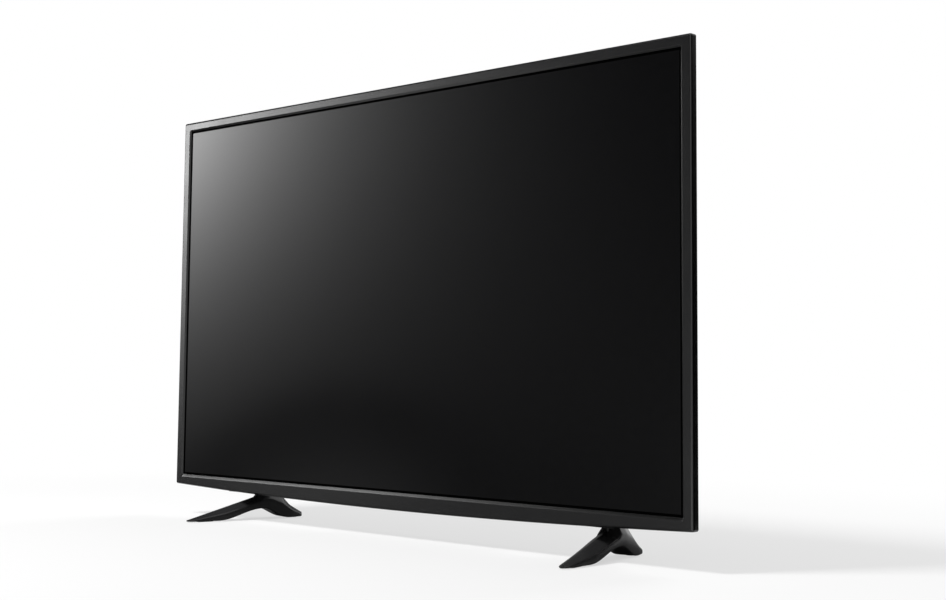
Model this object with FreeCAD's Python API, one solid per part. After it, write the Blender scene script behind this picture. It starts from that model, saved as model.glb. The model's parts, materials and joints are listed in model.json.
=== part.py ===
import FreeCAD, Part
import math
import os

from FreeCAD import Vector

# A flat screen television on two legs, in millimetres.
# +X is the viewer's right, +Y runs from the screen to the back and +Z is up.
# The origin lies on the surface that it stands on, midway between the tips of the legs.

# Front frame
side_border = 16.0
window_width = 943.0
window_height = 532.0
window_low_z = 61.0
top_border = 14.0
bottom_border = 15.0
bottom_bow = 8.75
corner_radius = 3.0
frame_depth = 8.5
frame_wall = 2.5
frame_face = 2.5
front_round = 1.5
side_bevel = 1.2
bottom_bevel = 5.0
bevel_depth = 1.5

# Rear cover
tray_gap = 1.7
belly_depth = 27.5
cover_wall = 2.5
skirt_depth = 1.0
rim_slope = 32.0
belly_margin = 46.5
belly_top = 450.0
belly_slope = 38.0
belly_rise = 2.5
belly_crown = 6.0
belly_crown_slope = 14.0

# Display module, measured outwards from the edge of the window
gasket_inner = 3.4
gasket_outer = 5.2
gasket_thickness = 0.7
polarizer_overlap = 3.0
rear_polarizer_overlap = 2.0
polarizer_thickness = 0.2
cell_overlap = 5.5
cell_thickness = 1.4
guide_opening = 2.5
guide_pocket = 6.0
guide_outer = 9.0
guide_ledge = 2.0
sheet_overlap = 4.5
sheet_thickness = 0.3
plate_thickness = 1.5
flange_outer = 5.0
tray_mouth = 0.5
tray_floor_inset = 25.0
tray_depth = 16.8
tray_sheet = 0.8
tray_wall_run = 1.5

# Backlight
led_rows = 4
leds_per_strip = 4
led_strip_height = 14.0
led_strip_thickness = 1.0
led_strip_gap = 6.0
led_edge_margin = 22.0
lens_radius = 7.5
lens_height = 5.0
reflector_thickness = 0.3
reflector_clearance = 0.5
post_radius = 5.0
post_tip_radius = 1.5
post_columns = 3
post_rows = 3

# Wall mount, a 200 mm square of M6 threads
mount_pitch = 200.0
mount_centre_z = 290.0
mount_hole_radius = 3.0
mount_hole_depth = 14.0
mount_post_radius = 8.0
rail_width = 40.0
rail_depth = 5.0
rail_sheet = 1.2
rail_lower_end = 70.0
rail_upper_end = 40.0

# Boards, standing on pillars behind the tray
pillar_height = 6.0
pillar_radius = 3.5
board_thickness = 1.6
board_near_x = 125.0
board_far_x = 298.0
board_low_z = 175.0
board_high_z = 400.0
board_hole_inset = 7.0
timing_half_width = 70.0
timing_height = 55.0
panel_cable_length = 36.0
source_board_near_x = 15.0
source_board_far_x = 300.0
source_board_height = 14.0
source_board_overhang = 5.0
source_board_thickness = 1.2
film_width = 34.0
film_thickness = 0.3
film_lap = 4.0
films_per_board = 4
cable_width = 24.0
cable_thickness = 0.3
cable_lap = 6.0
panel_cable_x = 45.0
signal_cable_inset = 25.0
signal_cable_lap = 12.0
wireless_x = 55.0
wireless_drop = 45.0
wireless_length = 34.0
wireless_height = 20.0
wireless_thickness = 3.0

# Parts on the boards
chip_thickness = 2.0
timing_chip = 18.0
processor_length = 30.0
processor_across = 70.0
processor_rise = 105.0
sink_length = 40.0
sink_base = 2.0
sink_fin = 1.5
sink_fins = 8
sink_height = 7.0
tuner_length = 24.0
tuner_height = 22.0
tuner_thickness = 8.0
transformer_width = 34.0
transformer_base = 4.0
transformer_yoke = 4.0
transformer_height = 18.0
transformer_rises = (108.0, 160.0)
transformer_across = 63.0
capacitors = (
    (116.0, 80.0, 9.0, 34.0),
    (137.0, 80.0, 9.0, 34.0),
    (25.0, 140.0, 5.0, 16.0),
    (39.0, 140.0, 5.0, 16.0),
)

# Blocks on the main and power boards: place across and up, width, height, thickness
main_blocks = (
    (50.0, 106.0, 14.0, 12.0, 2.0),
    (50.0, 124.0, 14.0, 12.0, 2.0),
    (20.0, 50.0, 20.0, 15.0, 2.0),
    (30.0, 175.0, 20.0, 16.0, 2.0),
    (12.0, 30.0, 16.0, 8.0, 7.0),
)
power_blocks = (
    (15.0, 191.0, 18.0, 18.0, 12.0),
    (137.0, 40.0, 18.0, 20.0, 12.0),
    (111.0, 40.0, 20.0, 20.0, 12.0),
    (20.0, 15.0, 30.0, 7.0, 7.0),
    (90.0, 205.0, 40.0, 7.0, 7.0),
)
power_sinks = ((53.0, 40.0, 2.0, 60.0, 17.0), (103.0, 155.0, 2.0, 50.0, 17.0))

# Recesses in the back, where cables plug in
recess_gap = 1.1
jack_plate_thickness = 1.5
jack_plate_lap = 3.0
jack_gap = 0.3
jack_margin = 5.0
jack_rise = 7.5
jack_half_opening = 6.9
socket_length = 16.0
socket_recess = 0.5
barrel_length = 8.0
side_recess_margin = 15.0
side_recess_height = 130.0
wall_board_gap = 2.0
inlet_offset = 104.0
inlet_recess_half_width = 33.0
jack_plate_rim = 2.4
recess_overrun = 5.0

# Sockets facing sideways: rise above the board's foot, length, thickness, mouth length and height, tongue
side_sockets = {
    "usb": (47.0, 14.4, 7.4, 12.6, 5.2, 1.9),
    "hdmi_one": (79.0, 15.6, 6.2, 14.0, 4.6, 0.9),
    "hdmi_two": (109.0, 15.6, 6.2, 14.0, 4.6, 0.9),
}
tongue_step = 2.0
mouth_depth = 11.0
headphone_rise = 132.0
headphone_radius = 1.75
headphone_body = 8.0
headphone_depth = 14.0

# Sockets facing down: offset from the board's far edge, length, thickness, mouth length and height
network_socket_size = (52.0, 15.8, 12.6, 11.8, 8.0)
optical_socket_size = (80.0, 10.0, 10.0, 7.0, 7.0)
latch_half_width = 2.0
latch_depth = 1.3
antenna_offset = 23.0
antenna_radius = 4.75
antenna_bore = 1.3
video_offsets = (102.0, 120.0, 138.0)
video_radius = 4.2
video_bore = 1.65
inlet_length = 24.0
inlet_tall = 12.6
inlet_depth = 22.0
inlet_mouth_length = 15.6
inlet_mouth_tall = 8.6
inlet_mouth_depth = 14.0
inlet_pin_radius = 1.2
inlet_pin_pitch = 8.6
inlet_flange = 3.0
inlet_flange_thickness = 2.0

# Air slots
vent_height = 24.0
vent_width = 4.0
vent_pitch = 11.0
vent_margin = 30.0
vent_drop = 2.0
low_vent_reach = 100.0
grille_width = 2.5
grille_pitch = 5.5
grille_overrun = 3.0

# Speakers
speaker_near_x = 30.0
speaker_far_x = 118.0
speaker_height = 26.0
speaker_depth = 21.0
speaker_clearance = 3.0
speaker_wall = 2.0
cone_half_length = 30.0
cone_half_width = 7.0
cone_depth = 9.0
cone_flange = 1.2
cone_dish = 2.5
bush_radius = 4.0
bush_length = 3.5
bush_inset = 10.0

# Control key and remote sensor, under the middle of the screen
key_setback = 26.5
key_pivot_height = 14.0
key_cap_radius = 7.0
key_cap_height = 4.0
key_cap_round = 0.8
key_proud = 3.5
key_shaft_radius = 1.6
key_hole_margin = 2.6
key_press_travel = 0.6
ring_radius = 7.0
ring_bore = 5.2
ring_height = 2.6
key_pin_radius = 0.8
stem_radius = 3.8
stem_height = 6.0
stem_head_height = 0.8
stem_head_radius = 3.0
stem_pin_gap = 0.4
key_top_gap = 1.2
key_housing_wall = 1.2
key_pin_gap = 0.15
key_gap = 0.3
key_board_thickness = 1.2
key_board_length = 46.0
key_board_depth = 20.0
key_chip = 6.0
key_chip_inset = 4.0
sensor_window_length = 20.0
sensor_window_depth = 2.6
sensor_gap = 0.3
sensor_lip = 3.0
sensor_lip_height = 1.0

# Legs, along their own line from the front tip to the rear tip
stand_depth = 185.0
front_reach = 71.0
leg_inset = 132.0
leg_splay = 10.7
seat_proud = 0.9
leg_lift = 1.0
tip_half_width = 3.0
tip_taper = 8.0
front_tip_half_width = 6.5
front_half_width = 14.0
neck_half_width = 16.0
shoulder_half_width = 14.0
rear_tip_half_width = 8.6
front_wide_s = -37.0
front_root_s = 13.0
neck_front_s = 16.0
neck_rear_s = 36.0
rear_slope_s = 55.0
rear_shoulder_s = 72.0
front_tip_height = 3.0
front_root_height = 32.0
rear_slope_height = 35.5
rear_shoulder_height = 19.0
rear_tip_height = 6.8
side_share = 0.6
ridge_share = 0.8
tip_ridge_half_width = 1.7
ridge_half_width = 2.8
neck_top_half_width = 9.5
arch_front_s = -50.0
arch_peak_s = 21.5
arch_rear_s = 66.0
arch_height = 15.2
seat_half_width = 24.0
tenon_half_width = 8.0
tenon_front_s = 13.0
tenon_rear_s = 32.0
tenon_height = 14.0
bracket_wall = 3.0
bracket_top = 4.0
bracket_plate = 2.0
bracket_half_width = 22.0
bracket_height = 86.0
pad_thickness = 2.5
front_pad_s = -66.0
front_pad_half_length = 12.0
front_pad_half_width = 5.5
rear_pad_s = 77.0
rear_pad_half_length = 7.0
rear_pad_half_width = 4.5

# Fasteners
thread_gap = 0.05
shank_gap = 0.3
cover_screw_inset = 48.0
cover_screw_heights = (480.0, 305.0, 130.0)
cover_screw_radius = 1.5
cover_screw_head_radius = 3.2
cover_screw_head_height = 1.2
board_screw_radius = 1.5
board_screw_head_radius = 2.9
board_screw_head_height = 2.0
board_screw_length = 5.0
leg_screw_radius = 2.0
leg_screw_head_radius = 3.6
leg_screw_head_height = 2.6
leg_screw_length = 34.0
leg_screw_pitch = 10.0

# Places worked out from the sizes above
half_width = window_width / 2 + side_border
splay = math.radians(leg_splay)
leg_half_length = (stand_depth / 2 - tip_half_width * math.sin(splay)) / math.cos(splay)
leg_x = window_width / 2 - leg_inset
belly_half_width = leg_x + seat_half_width + belly_margin
front_y = front_reach - stand_depth / 2
cover_front_y = front_y + frame_depth
key_y = front_y + key_setback
window_top_z = window_low_z + window_height
cabinet_top_z = window_top_z + top_border
cabinet_end_z = window_low_z - bottom_border
cell_front_y = front_y + frame_face + gasket_thickness
ledge_front_y = cell_front_y + cell_thickness
ledge_rear_y = ledge_front_y + guide_ledge
plate_front_y = ledge_rear_y + 3 * sheet_thickness
tray_front_y = plate_front_y + plate_thickness
tray_back_y = tray_front_y + tray_depth
tray_floor_y = tray_back_y - tray_sheet
board_front_y = tray_back_y + pillar_height
board_rear_y = board_front_y + board_thickness
plateau_y = tray_back_y + tray_gap + cover_wall
rear_y = plateau_y + belly_depth
cover_inner_y = rear_y - cover_wall
recess_floor_y = board_rear_y + recess_gap + cover_wall
jack_y = recess_floor_y + jack_rise
side_wall_x = -(board_far_x + wall_board_gap)
side_recess_low_z = board_low_z + side_recess_margin
side_recess_high_z = side_recess_low_z + side_recess_height
lower_wall_z = board_low_z - wall_board_gap
inlet_x = board_near_x + inlet_offset
socket_start_x = side_wall_x + socket_recess
socket_start_z = lower_wall_z + socket_recess
side_plate_x = side_wall_x + cover_wall
lower_plate_z = lower_wall_z + cover_wall
opening_low_y = jack_y - jack_half_opening
opening_high_y = jack_y + jack_half_opening
source_board_low_z = window_low_z + tray_floor_inset - source_board_overhang
source_board_high_z = source_board_low_z + source_board_height
timing_low_z = source_board_high_z + panel_cable_length
timing_high_z = timing_low_z + timing_height
speaker_rear_y = cover_inner_y - bush_length
speaker_front_y = speaker_rear_y - speaker_depth

BACK = Vector(0, 1, 0)
UP = Vector(0, 0, 1)
RIGHT = Vector(1, 0, 0)


def box(x0, x1, y0, y1, z0, z1):
    """A block between three pairs of coordinates."""
    return Part.makeBox(x1 - x0, y1 - y0, z1 - z0, Vector(x0, y0, z0))


def rod(x, y, z, direction, radius, length):
    """A round bar that starts at a point and runs along a direction."""
    return Part.makeCylinder(radius, length, Vector(x, y, z), direction)


def mirrored(shape):
    """The same shape on the other side of the set's middle."""
    return shape.mirror(Vector(0, 0, 0), RIGHT)


def joined(shapes):
    """One solid out of several that touch or overlap."""
    return shapes[0].multiFuse(shapes[1:]).removeSplitter()


def without(shape, tools):
    """A shape with a list of others taken out of it."""
    return shape.cut(Part.makeCompound(tools))


def save(name, shapes):
    """Writes one named piece, or a group of like pieces, as its own file."""
    shape = Part.makeCompound(shapes) if len(shapes) > 1 else shapes[0]
    shape.exportStep("parts/" + name + ".step")
    solids = shape.Solids
    print(name, len(solids), "valid" if shape.isValid() else "NOT VALID", round(shape.Volume / 1000, 2))


def bow(x):
    """Height of the cabinet's lower edge, which hangs lowest in the middle."""
    return cabinet_end_z - bottom_bow * (1 - (x / half_width) ** 2)


def cover_floor(x):
    """Height of the rear cover's lower wall, on the inside."""
    return bow(x) + belly_rise + cover_wall


leg_seat_z = bow(leg_x) - seat_proud
seat_top_z = cover_floor(leg_x + seat_half_width)
speaker_low_z = cover_floor(speaker_far_x) + speaker_clearance
speaker_high_z = speaker_low_z + speaker_height
key_seat_z = cover_floor(0)
key_low_z = bow(0) + belly_rise - key_proud
key_pivot_z = key_low_z + key_pivot_height
key_ceiling_z = key_pivot_z + stem_height / 2 + stem_head_height + key_press_travel + key_top_gap


def outline(inset, y):
    """The cabinet's outline, seen from the front and drawn in by an inset."""
    side = half_width - inset
    top = cabinet_top_z - inset
    radius = max(corner_radius - inset, 1.0)
    near = side - radius
    low = bow(near) + inset
    slant = radius * (1 - math.sqrt(0.5))

    def point(x, z):
        return Vector(x, y, z)

    def arc(a, b, c):
        return Part.Arc(a, b, c).toShape()

    edges = [
        Part.LineSegment(point(-side, low + radius), point(-side, top - radius)).toShape(),
        arc(point(-side, top - radius), point(-side + slant, top - slant), point(-near, top)),
        Part.LineSegment(point(-near, top), point(near, top)).toShape(),
        arc(point(near, top), point(side - slant, top - slant), point(side, top - radius)),
        Part.LineSegment(point(side, top - radius), point(side, low + radius)).toShape(),
        arc(point(side, low + radius), point(side - slant, low + slant), point(near, low)),
        arc(point(near, low), point(0, bow(0) + inset), point(-near, low)),
        arc(point(-near, low), point(-side + slant, low + slant), point(-side, low + radius)),
    ]
    return Part.Wire(edges)


def belly_outline(inset, y, rise):
    """The outline of the deep lower part of the back."""
    side = belly_half_width - inset
    top = belly_top - inset
    low = bow(side) + rise
    corners = [Vector(side, y, low), Vector(side, y, top), Vector(-side, y, top), Vector(-side, y, low)]
    edges = [Part.LineSegment(a, b).toShape() for a, b in zip(corners, corners[1:])]
    edges.append(Part.Arc(corners[3], Vector(0, y, bow(0) + rise), corners[0]).toShape())
    return Part.Wire(edges)


def grown_window(grow, y0, y1):
    """A block as large as the window and a margin all round it."""
    side = window_width / 2 + grow
    return box(-side, side, y0, y1, window_low_z - grow, window_top_z + grow)


def window_ring(outer, inner, y0, y1):
    """A flat ring round the window, between two margins."""
    return grown_window(outer, y0, y1).cut(grown_window(inner, y0, y1))


def window_wire(side, low, top, y):
    """A rectangle about the window, with its own margin beside, below and above."""
    x = window_width / 2 + side
    z0 = window_low_z - low
    z1 = window_top_z + top
    corners = [Vector(-x, y, z0), Vector(x, y, z0), Vector(x, y, z1), Vector(-x, y, z1), Vector(-x, y, z0)]
    return Part.makePolygon(corners)


def taper(first, second):
    """A solid with flat sides between two outlines."""
    return Part.makeLoft([first, second], True, True)


def front_bezel():
    """The front frame: bevelled round the screen and bowed below."""
    body = Part.Face(outline(0, front_y)).extrude(Vector(0, frame_depth, 0))
    rim = [edge for edge in body.Edges if edge.BoundBox.YMax < front_y + 0.01]
    body = body.makeFillet(front_round, rim)
    hollow_depth = frame_depth - frame_face + 1
    hollow = Part.Face(outline(frame_wall, front_y + frame_face)).extrude(Vector(0, hollow_depth, 0))
    slope = taper(
        window_wire(side_bevel, bottom_bevel, side_bevel, front_y),
        window_wire(0, 0, 0, front_y + bevel_depth),
    )
    opening = grown_window(0, front_y - 1, front_y + frame_depth)
    half = sensor_window_length / 2 + sensor_gap
    rear = cover_front_y - frame_face
    slot = box(-half, half, rear - sensor_window_depth, rear, bow(0) - 1, bow(0) + frame_wall + 1)
    return without(body, [hollow, slope, opening, slot])


def sensor_window():
    """The smoked window of the remote control's sensor, in the frame's lower edge."""
    half = sensor_window_length / 2
    rear = cover_front_y - frame_face - sensor_gap
    front = rear - sensor_window_depth + 2 * sensor_gap
    low = bow(0) + sensor_gap
    shelf = bow(0) + frame_wall
    top = shelf + sensor_lip_height
    pane = box(-half, half, front, rear, low, top)
    lip = box(-half - sensor_lip, half + sensor_lip, front - sensor_lip_height, rear + sensor_lip_height,
              shelf + thread_gap, top)
    return joined([pane, lip])


def panel_guide():
    """The middle frame, which carries the panel in front and the sheets behind."""
    ring = window_ring(guide_outer, guide_opening, cell_front_y, tray_front_y + tray_sheet)
    front_pocket = grown_window(guide_pocket, cell_front_y - 1, ledge_front_y)
    rear_pocket = grown_window(guide_pocket, ledge_rear_y, tray_front_y + tray_sheet + 1)
    notches = [
        box(x - film_width / 2 - 1, x + film_width / 2 + 1, cell_front_y - 1, tray_front_y + tray_sheet + 1,
            window_low_z - guide_outer - 1, window_low_z - cell_overlap)
        for x in film_places()
    ]
    return without(ring, [front_pocket, rear_pocket] + notches)


def film_places():
    """Where the films leave the panel's lower edge, on both sides of the middle."""
    span = source_board_far_x - source_board_near_x
    step = span / films_per_board
    right = [source_board_near_x + step * (i + 0.5) for i in range(films_per_board)]
    return [-x for x in right] + right


def panel_films():
    """Thin films that fold back from the panel's lower edge to the source boards."""
    low = window_low_z - cell_overlap - film_thickness
    board_back = tray_back_y + source_board_thickness
    films = []
    for x in film_places():
        side = film_width / 2
        run = box(x - side, x + side, cell_front_y, board_back + film_thickness, low, low + film_thickness)
        rise = box(x - side, x + side, board_back, board_back + film_thickness, low,
                   source_board_low_z + film_lap)
        films.append(joined([run, rise]))
    return films


def source_boards():
    """Two slim boards behind the tray's lower edge."""
    board = box(source_board_near_x, source_board_far_x, tray_back_y, tray_back_y + source_board_thickness,
                source_board_low_z, source_board_high_z)
    return [board, mirrored(board)]


def floor_wire(extra, y):
    """The tray's floor outline, with a margin."""
    return window_wire(extra - tray_floor_inset, extra - tray_floor_inset, extra - tray_floor_inset, y)


def mouth_wire(extra, y):
    """The tray's mouth outline, with a margin."""
    return window_wire(tray_mouth + extra, tray_mouth + extra, tray_mouth + extra, y)


def tray_holes():
    """Threads in the tray for the rear cover's screws."""
    return [rod(x, tray_floor_y - 1, z, BACK, cover_screw_radius + thread_gap, tray_sheet + 2)
            for x, z in cover_screw_places()]


def back_tray():
    """The pressed metal tray that carries the backlight, the boards and the legs."""
    outer = taper(mouth_wire(tray_wall_run, tray_front_y), floor_wire(tray_wall_run, tray_back_y))
    inner = taper(mouth_wire(0, tray_front_y), floor_wire(0, tray_floor_y))
    flange = window_ring(flange_outer, tray_mouth, tray_front_y, tray_front_y + tray_sheet)
    return without(joined([outer, flange]), [inner] + tray_holes())


def led_heights():
    """Heights of the rows of lamps, evenly spread over the tray's floor."""
    low = window_low_z + tray_floor_inset
    span = window_height - 2 * tray_floor_inset
    step = span / led_rows
    return [low + step * (i + 0.5) for i in range(led_rows)]


def led_columns():
    """Places of the lamps along the right half of a row."""
    span = window_width / 2 - tray_floor_inset - led_edge_margin
    step = span / leds_per_strip
    return [step * (i + 0.5) for i in range(leds_per_strip)]


def led_strips():
    """Narrow metal-core boards, two to a row."""
    strips = []
    far = window_width / 2 - tray_floor_inset - led_edge_margin
    for z in led_heights():
        strip = box(led_strip_gap / 2, far, tray_floor_y - led_strip_thickness, tray_floor_y,
                    z - led_strip_height / 2, z + led_strip_height / 2)
        strips += [strip, mirrored(strip)]
    return strips


def led_lenses():
    """A domed lens over each lamp, with a dimple that spreads the light."""
    foot = tray_floor_y - led_strip_thickness
    lenses = []
    for z in led_heights():
        for x in led_columns():
            for side in (-1, 1):
                disc = rod(side * x, foot, z, -BACK, lens_radius, lens_height)
                rounded = disc.makeFillet(lens_height * 0.5, [disc.Edges[0]])
                lenses.append(rounded)
    return lenses


def reflector_sheet():
    """The white sheet that lines the tray's floor between the strips."""
    side = window_width / 2 - tray_floor_inset - 1
    sheet = box(-side, side, tray_floor_y - reflector_thickness, tray_floor_y,
                window_low_z + tray_floor_inset + 1, window_top_z - tray_floor_inset - 1)
    gap = reflector_clearance
    cuts = [
        box(strip.BoundBox.XMin - gap, strip.BoundBox.XMax + gap, tray_floor_y - 1, tray_floor_y + 1,
            strip.BoundBox.ZMin - gap, strip.BoundBox.ZMax + gap)
        for strip in led_strips()
    ]
    cuts += [rod(x, tray_floor_y - 1, z, BACK, cover_screw_radius + shank_gap, 2)
             for x, z in cover_screw_places()]
    return without(sheet, cuts)


def plate_posts():
    """Cones that keep the diffuser plate from sagging."""
    foot = tray_floor_y - reflector_thickness
    height = foot - tray_front_y
    rows = led_heights()
    posts = []
    for i in range(post_rows):
        z = (rows[i] + rows[i + 1]) / 2
        for j in range(post_columns):
            x = (j - (post_columns - 1) / 2) * window_width / (post_columns + 1)
            posts.append(Part.makeCone(post_radius, post_tip_radius, height, Vector(x, foot, z), -BACK))
    return posts


def mount_places():
    """The four corners of the wall mount's square."""
    half = mount_pitch / 2
    return [(x, z) for x in (-half, half) for z in (mount_centre_z - half, mount_centre_z + half)]


def mount_rails():
    """Two folded steel rails up the back of the tray."""
    half = rail_width / 2
    rails = []
    for x in (-mount_pitch / 2, mount_pitch / 2):
        low = mount_centre_z - mount_pitch / 2 - rail_lower_end
        high = mount_centre_z + mount_pitch / 2 + rail_upper_end
        block = box(x - half, x + half, tray_back_y, tray_back_y + rail_depth, low, high)
        hollow = box(x - half + rail_sheet, x + half - rail_sheet, tray_back_y,
                     tray_back_y + rail_depth - rail_sheet, low - 1, high + 1)
        rails.append(block.cut(hollow))
    return rails


def mount_posts():
    """Threaded steel posts that reach the back face of the cover."""
    foot = tray_back_y + rail_depth
    posts = []
    for x, z in mount_places():
        post = rod(x, foot, z, BACK, mount_post_radius, rear_y - foot)
        bore = rod(x, rear_y - mount_hole_depth, z, BACK, mount_hole_radius, mount_hole_depth + 1)
        posts.append(post.cut(bore))
    return posts


def board_corners(near, far, low, high):
    """The four screw places of a board."""
    return [(x, z) for x in (near + board_hole_inset, far - board_hole_inset)
            for z in (low + board_hole_inset, high - board_hole_inset)]


def pillar_places():
    """Every screw place of the three large boards."""
    power = board_corners(board_near_x, board_far_x, board_low_z, board_high_z)
    main = [(-x, z) for x, z in power]
    timing = board_corners(-timing_half_width, timing_half_width, timing_low_z, timing_high_z)
    return power + main + timing


def board_pillars():
    """Threaded pillars that hold the boards off the tray."""
    pillars = []
    for x, z in pillar_places():
        pillar = rod(x, tray_back_y, z, BACK, pillar_radius, pillar_height)
        bore = rod(x, tray_back_y + 1, z, BACK, board_screw_radius + thread_gap, pillar_height)
        pillars.append(pillar.cut(bore))
    return pillars


def board_screws():
    """Pan head screws that hold the boards to their pillars."""
    screws = []
    for x, z in pillar_places():
        shank = rod(x, board_rear_y, z, -BACK, board_screw_radius, board_screw_length)
        head = rod(x, board_rear_y, z, BACK, board_screw_head_radius, board_screw_head_height)
        screws.append(joined([shank, head]))
    return screws


def board_blank(near, far, low, high):
    """A bare board with its four screw holes."""
    blank = box(near, far, board_front_y, board_rear_y, low, high)
    holes = [rod(x, board_front_y - 1, z, BACK, board_screw_radius + shank_gap, board_thickness + 2)
             for x, z in board_corners(near, far, low, high)]
    return without(blank, holes)


def on_main(across, up, width, height, thickness, rise=0.0):
    """A block on the main board, measured from the board's lower corner nearest the middle."""
    x = -board_near_x - across
    z = board_low_z + up
    return box(x - width, x, board_rear_y + rise, board_rear_y + rise + thickness, z, z + height)


def on_power(across, up, width, height, thickness):
    """A block on the power board, measured from the board's lower corner nearest the middle."""
    x = board_near_x + across
    z = board_low_z + up
    return box(x, x + width, board_rear_y, board_rear_y + thickness, z, z + height)


def main_board():
    """The board with the tuner, the processor and every socket, and its chips."""
    blank = board_blank(-board_far_x, -board_near_x, board_low_z, board_high_z)
    processor = on_main(processor_across, processor_rise, processor_length, processor_length, chip_thickness)
    return joined([blank, processor] + [on_main(*block) for block in main_blocks])


def processor_heat_sink():
    """A finned block on the processor."""
    across = processor_across - (sink_length - processor_length) / 2
    up = processor_rise - (sink_length - processor_length) / 2
    base = on_main(across, up, sink_length, sink_length, sink_base, chip_thickness)
    pitch = sink_length / sink_fins
    fins = [
        on_main(across, up + pitch * (i + 0.5) - sink_fin / 2, sink_length, sink_fin, sink_height,
                chip_thickness + sink_base)
        for i in range(sink_fins)
    ]
    return joined([base] + fins)


def tuner_can():
    """The tuner's tin can, above the aerial socket."""
    foot = lower_wall_z + socket_recess + socket_length + 1 - board_low_z
    across = board_far_x - board_near_x - antenna_offset - tuner_length / 2
    return on_main(across, foot, tuner_length, tuner_height, tuner_thickness)


def power_board():
    """The board that makes the set's voltages, with its small parts."""
    blank = board_blank(board_near_x, board_far_x, board_low_z, board_high_z)
    return joined([blank] + [on_power(*block) for block in power_blocks])


def power_transformers():
    """Two wound transformers with ferrite cores."""
    cores = []
    for up in transformer_rises:
        foot = on_power(transformer_across, up, transformer_width, transformer_width, transformer_base)
        yoke = on_power(transformer_across, up, transformer_width, transformer_yoke, transformer_height)
        x = board_near_x + transformer_across + transformer_width / 2
        radius = transformer_height / 2 - 1
        winding = rod(x, board_rear_y + transformer_height / 2, board_low_z + up, UP, radius,
                      transformer_width)
        cores.append(joined([foot, yoke, winding]))
    return cores


def power_capacitors():
    """Smoothing capacitors, lying on the power board."""
    cans = []
    for across, up, radius, length in capacitors:
        cans.append(rod(board_near_x + across, board_rear_y + radius, board_low_z + up, UP, radius, length))
    return cans


def power_heat_sinks():
    """Upright aluminium fins along the power board."""
    return [on_power(*sink) for sink in power_sinks]


def timing_board():
    """The small board that drives the panel."""
    blank = board_blank(-timing_half_width, timing_half_width, timing_low_z, timing_high_z)
    middle = (timing_low_z + timing_high_z) / 2
    half = timing_chip / 2
    chip = box(-half, half, board_rear_y, board_rear_y + chip_thickness, middle - half, middle + half)
    front = tray_back_y + source_board_thickness + cable_thickness
    sockets = [
        box(x - cable_width / 2, x + cable_width / 2, front, board_front_y, timing_low_z,
            timing_low_z + cable_lap)
        for x in (-panel_cable_x, panel_cable_x)
    ]
    return joined([blank, chip] + sockets)


def panel_cables():
    """Flat cables from the timing board down to the source boards."""
    front = tray_back_y + source_board_thickness
    return [
        box(x - cable_width / 2, x + cable_width / 2, front, front + cable_thickness,
            source_board_high_z - cable_lap, timing_low_z + cable_lap)
        for x in (-panel_cable_x, panel_cable_x)
    ]


def signal_cable():
    """The flat cable from the main board across to the timing board."""
    low = (timing_low_z + timing_high_z - cable_width / 2) / 2
    left = -board_near_x - signal_cable_inset
    back = board_rear_y + cable_thickness
    across = box(left, -timing_half_width + signal_cable_lap, board_rear_y, back, low, low + cable_width / 2)
    up = box(left, left + cable_width / 2, board_rear_y, back, low, board_low_z + signal_cable_lap)
    return joined([across, up])


def wireless_board():
    """A small radio board on the tray, under the top of the belly."""
    half = wireless_length / 2
    top = belly_top - wireless_drop
    return box(wireless_x - half, wireless_x + half, tray_back_y, tray_back_y + wireless_thickness,
               top - wireless_height, top)


def side_frame(z, long, tall, depth, start):
    """A block that lies across the side wall, as a socket or its hole does."""
    return box(start, start + depth, jack_y - tall / 2, jack_y + tall / 2, z - long / 2, z + long / 2)


def lower_frame(x, long, tall, depth, start):
    """A block that stands across the lower wall, as a socket or its hole does."""
    return box(x - long / 2, x + long / 2, jack_y - tall / 2, jack_y + tall / 2, start, start + depth)


def side_height(name):
    """Height of a sideways socket's middle."""
    return board_low_z + side_sockets[name][0]


def lower_place(offset):
    """Distance from the set's middle of a downward socket, measured in from the board's far edge."""
    return -board_far_x + offset


def side_socket(name):
    """A shielded socket that faces sideways, with the tongue inside its mouth."""
    _, long, tall, mouth_long, mouth_tall, tongue = side_sockets[name]
    z = side_height(name)
    body = side_frame(z, long, tall, socket_length, socket_start_x)
    inner = side_plate_x + jack_plate_thickness + jack_gap
    foot = box(inner, socket_start_x + socket_length, board_rear_y, jack_y, z - long / 2, z + long / 2)
    mouth = side_frame(z, mouth_long, mouth_tall, mouth_depth + 1, socket_start_x - 1)
    tab = side_frame(z, mouth_long - 2, tongue, mouth_depth - tongue_step, socket_start_x + tongue_step)
    return joined([without(joined([body, foot]), [mouth]), tab])


def headphone_socket():
    """The sound output, a 3.5 mm jack that faces sideways."""
    z = board_low_z + headphone_rise
    body = side_frame(z, headphone_body, headphone_body, socket_length, socket_start_x)
    inner = side_plate_x + jack_plate_thickness + jack_gap
    half = headphone_body / 2
    foot = box(inner, socket_start_x + socket_length, board_rear_y, jack_y, z - half, z + half)
    bore = rod(socket_start_x - 1, jack_y, z, RIGHT, headphone_radius, headphone_depth + 1)
    return joined([body, foot]).cut(bore)


def lower_foot(x, long):
    """The block that carries a downward socket on the board."""
    inner = lower_plate_z + jack_plate_thickness + jack_gap
    return box(x - long / 2, x + long / 2, board_rear_y, jack_y, inner, socket_start_z + socket_length)


def network_socket():
    """The network socket, with a step in its mouth for the plug's latch."""
    offset, long, tall, mouth_long, mouth_tall = network_socket_size
    x = lower_place(offset)
    body = joined([lower_frame(x, long, tall, socket_length, socket_start_z), lower_foot(x, long)])
    mouth = lower_frame(x, mouth_long, mouth_tall, mouth_depth + 1, socket_start_z - 1)
    edge = jack_y + mouth_tall / 2
    latch = box(x - latch_half_width, x + latch_half_width, edge - 0.1, edge + latch_depth,
                socket_start_z - 1, socket_start_z + mouth_depth)
    return without(body, [mouth, latch])


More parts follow.
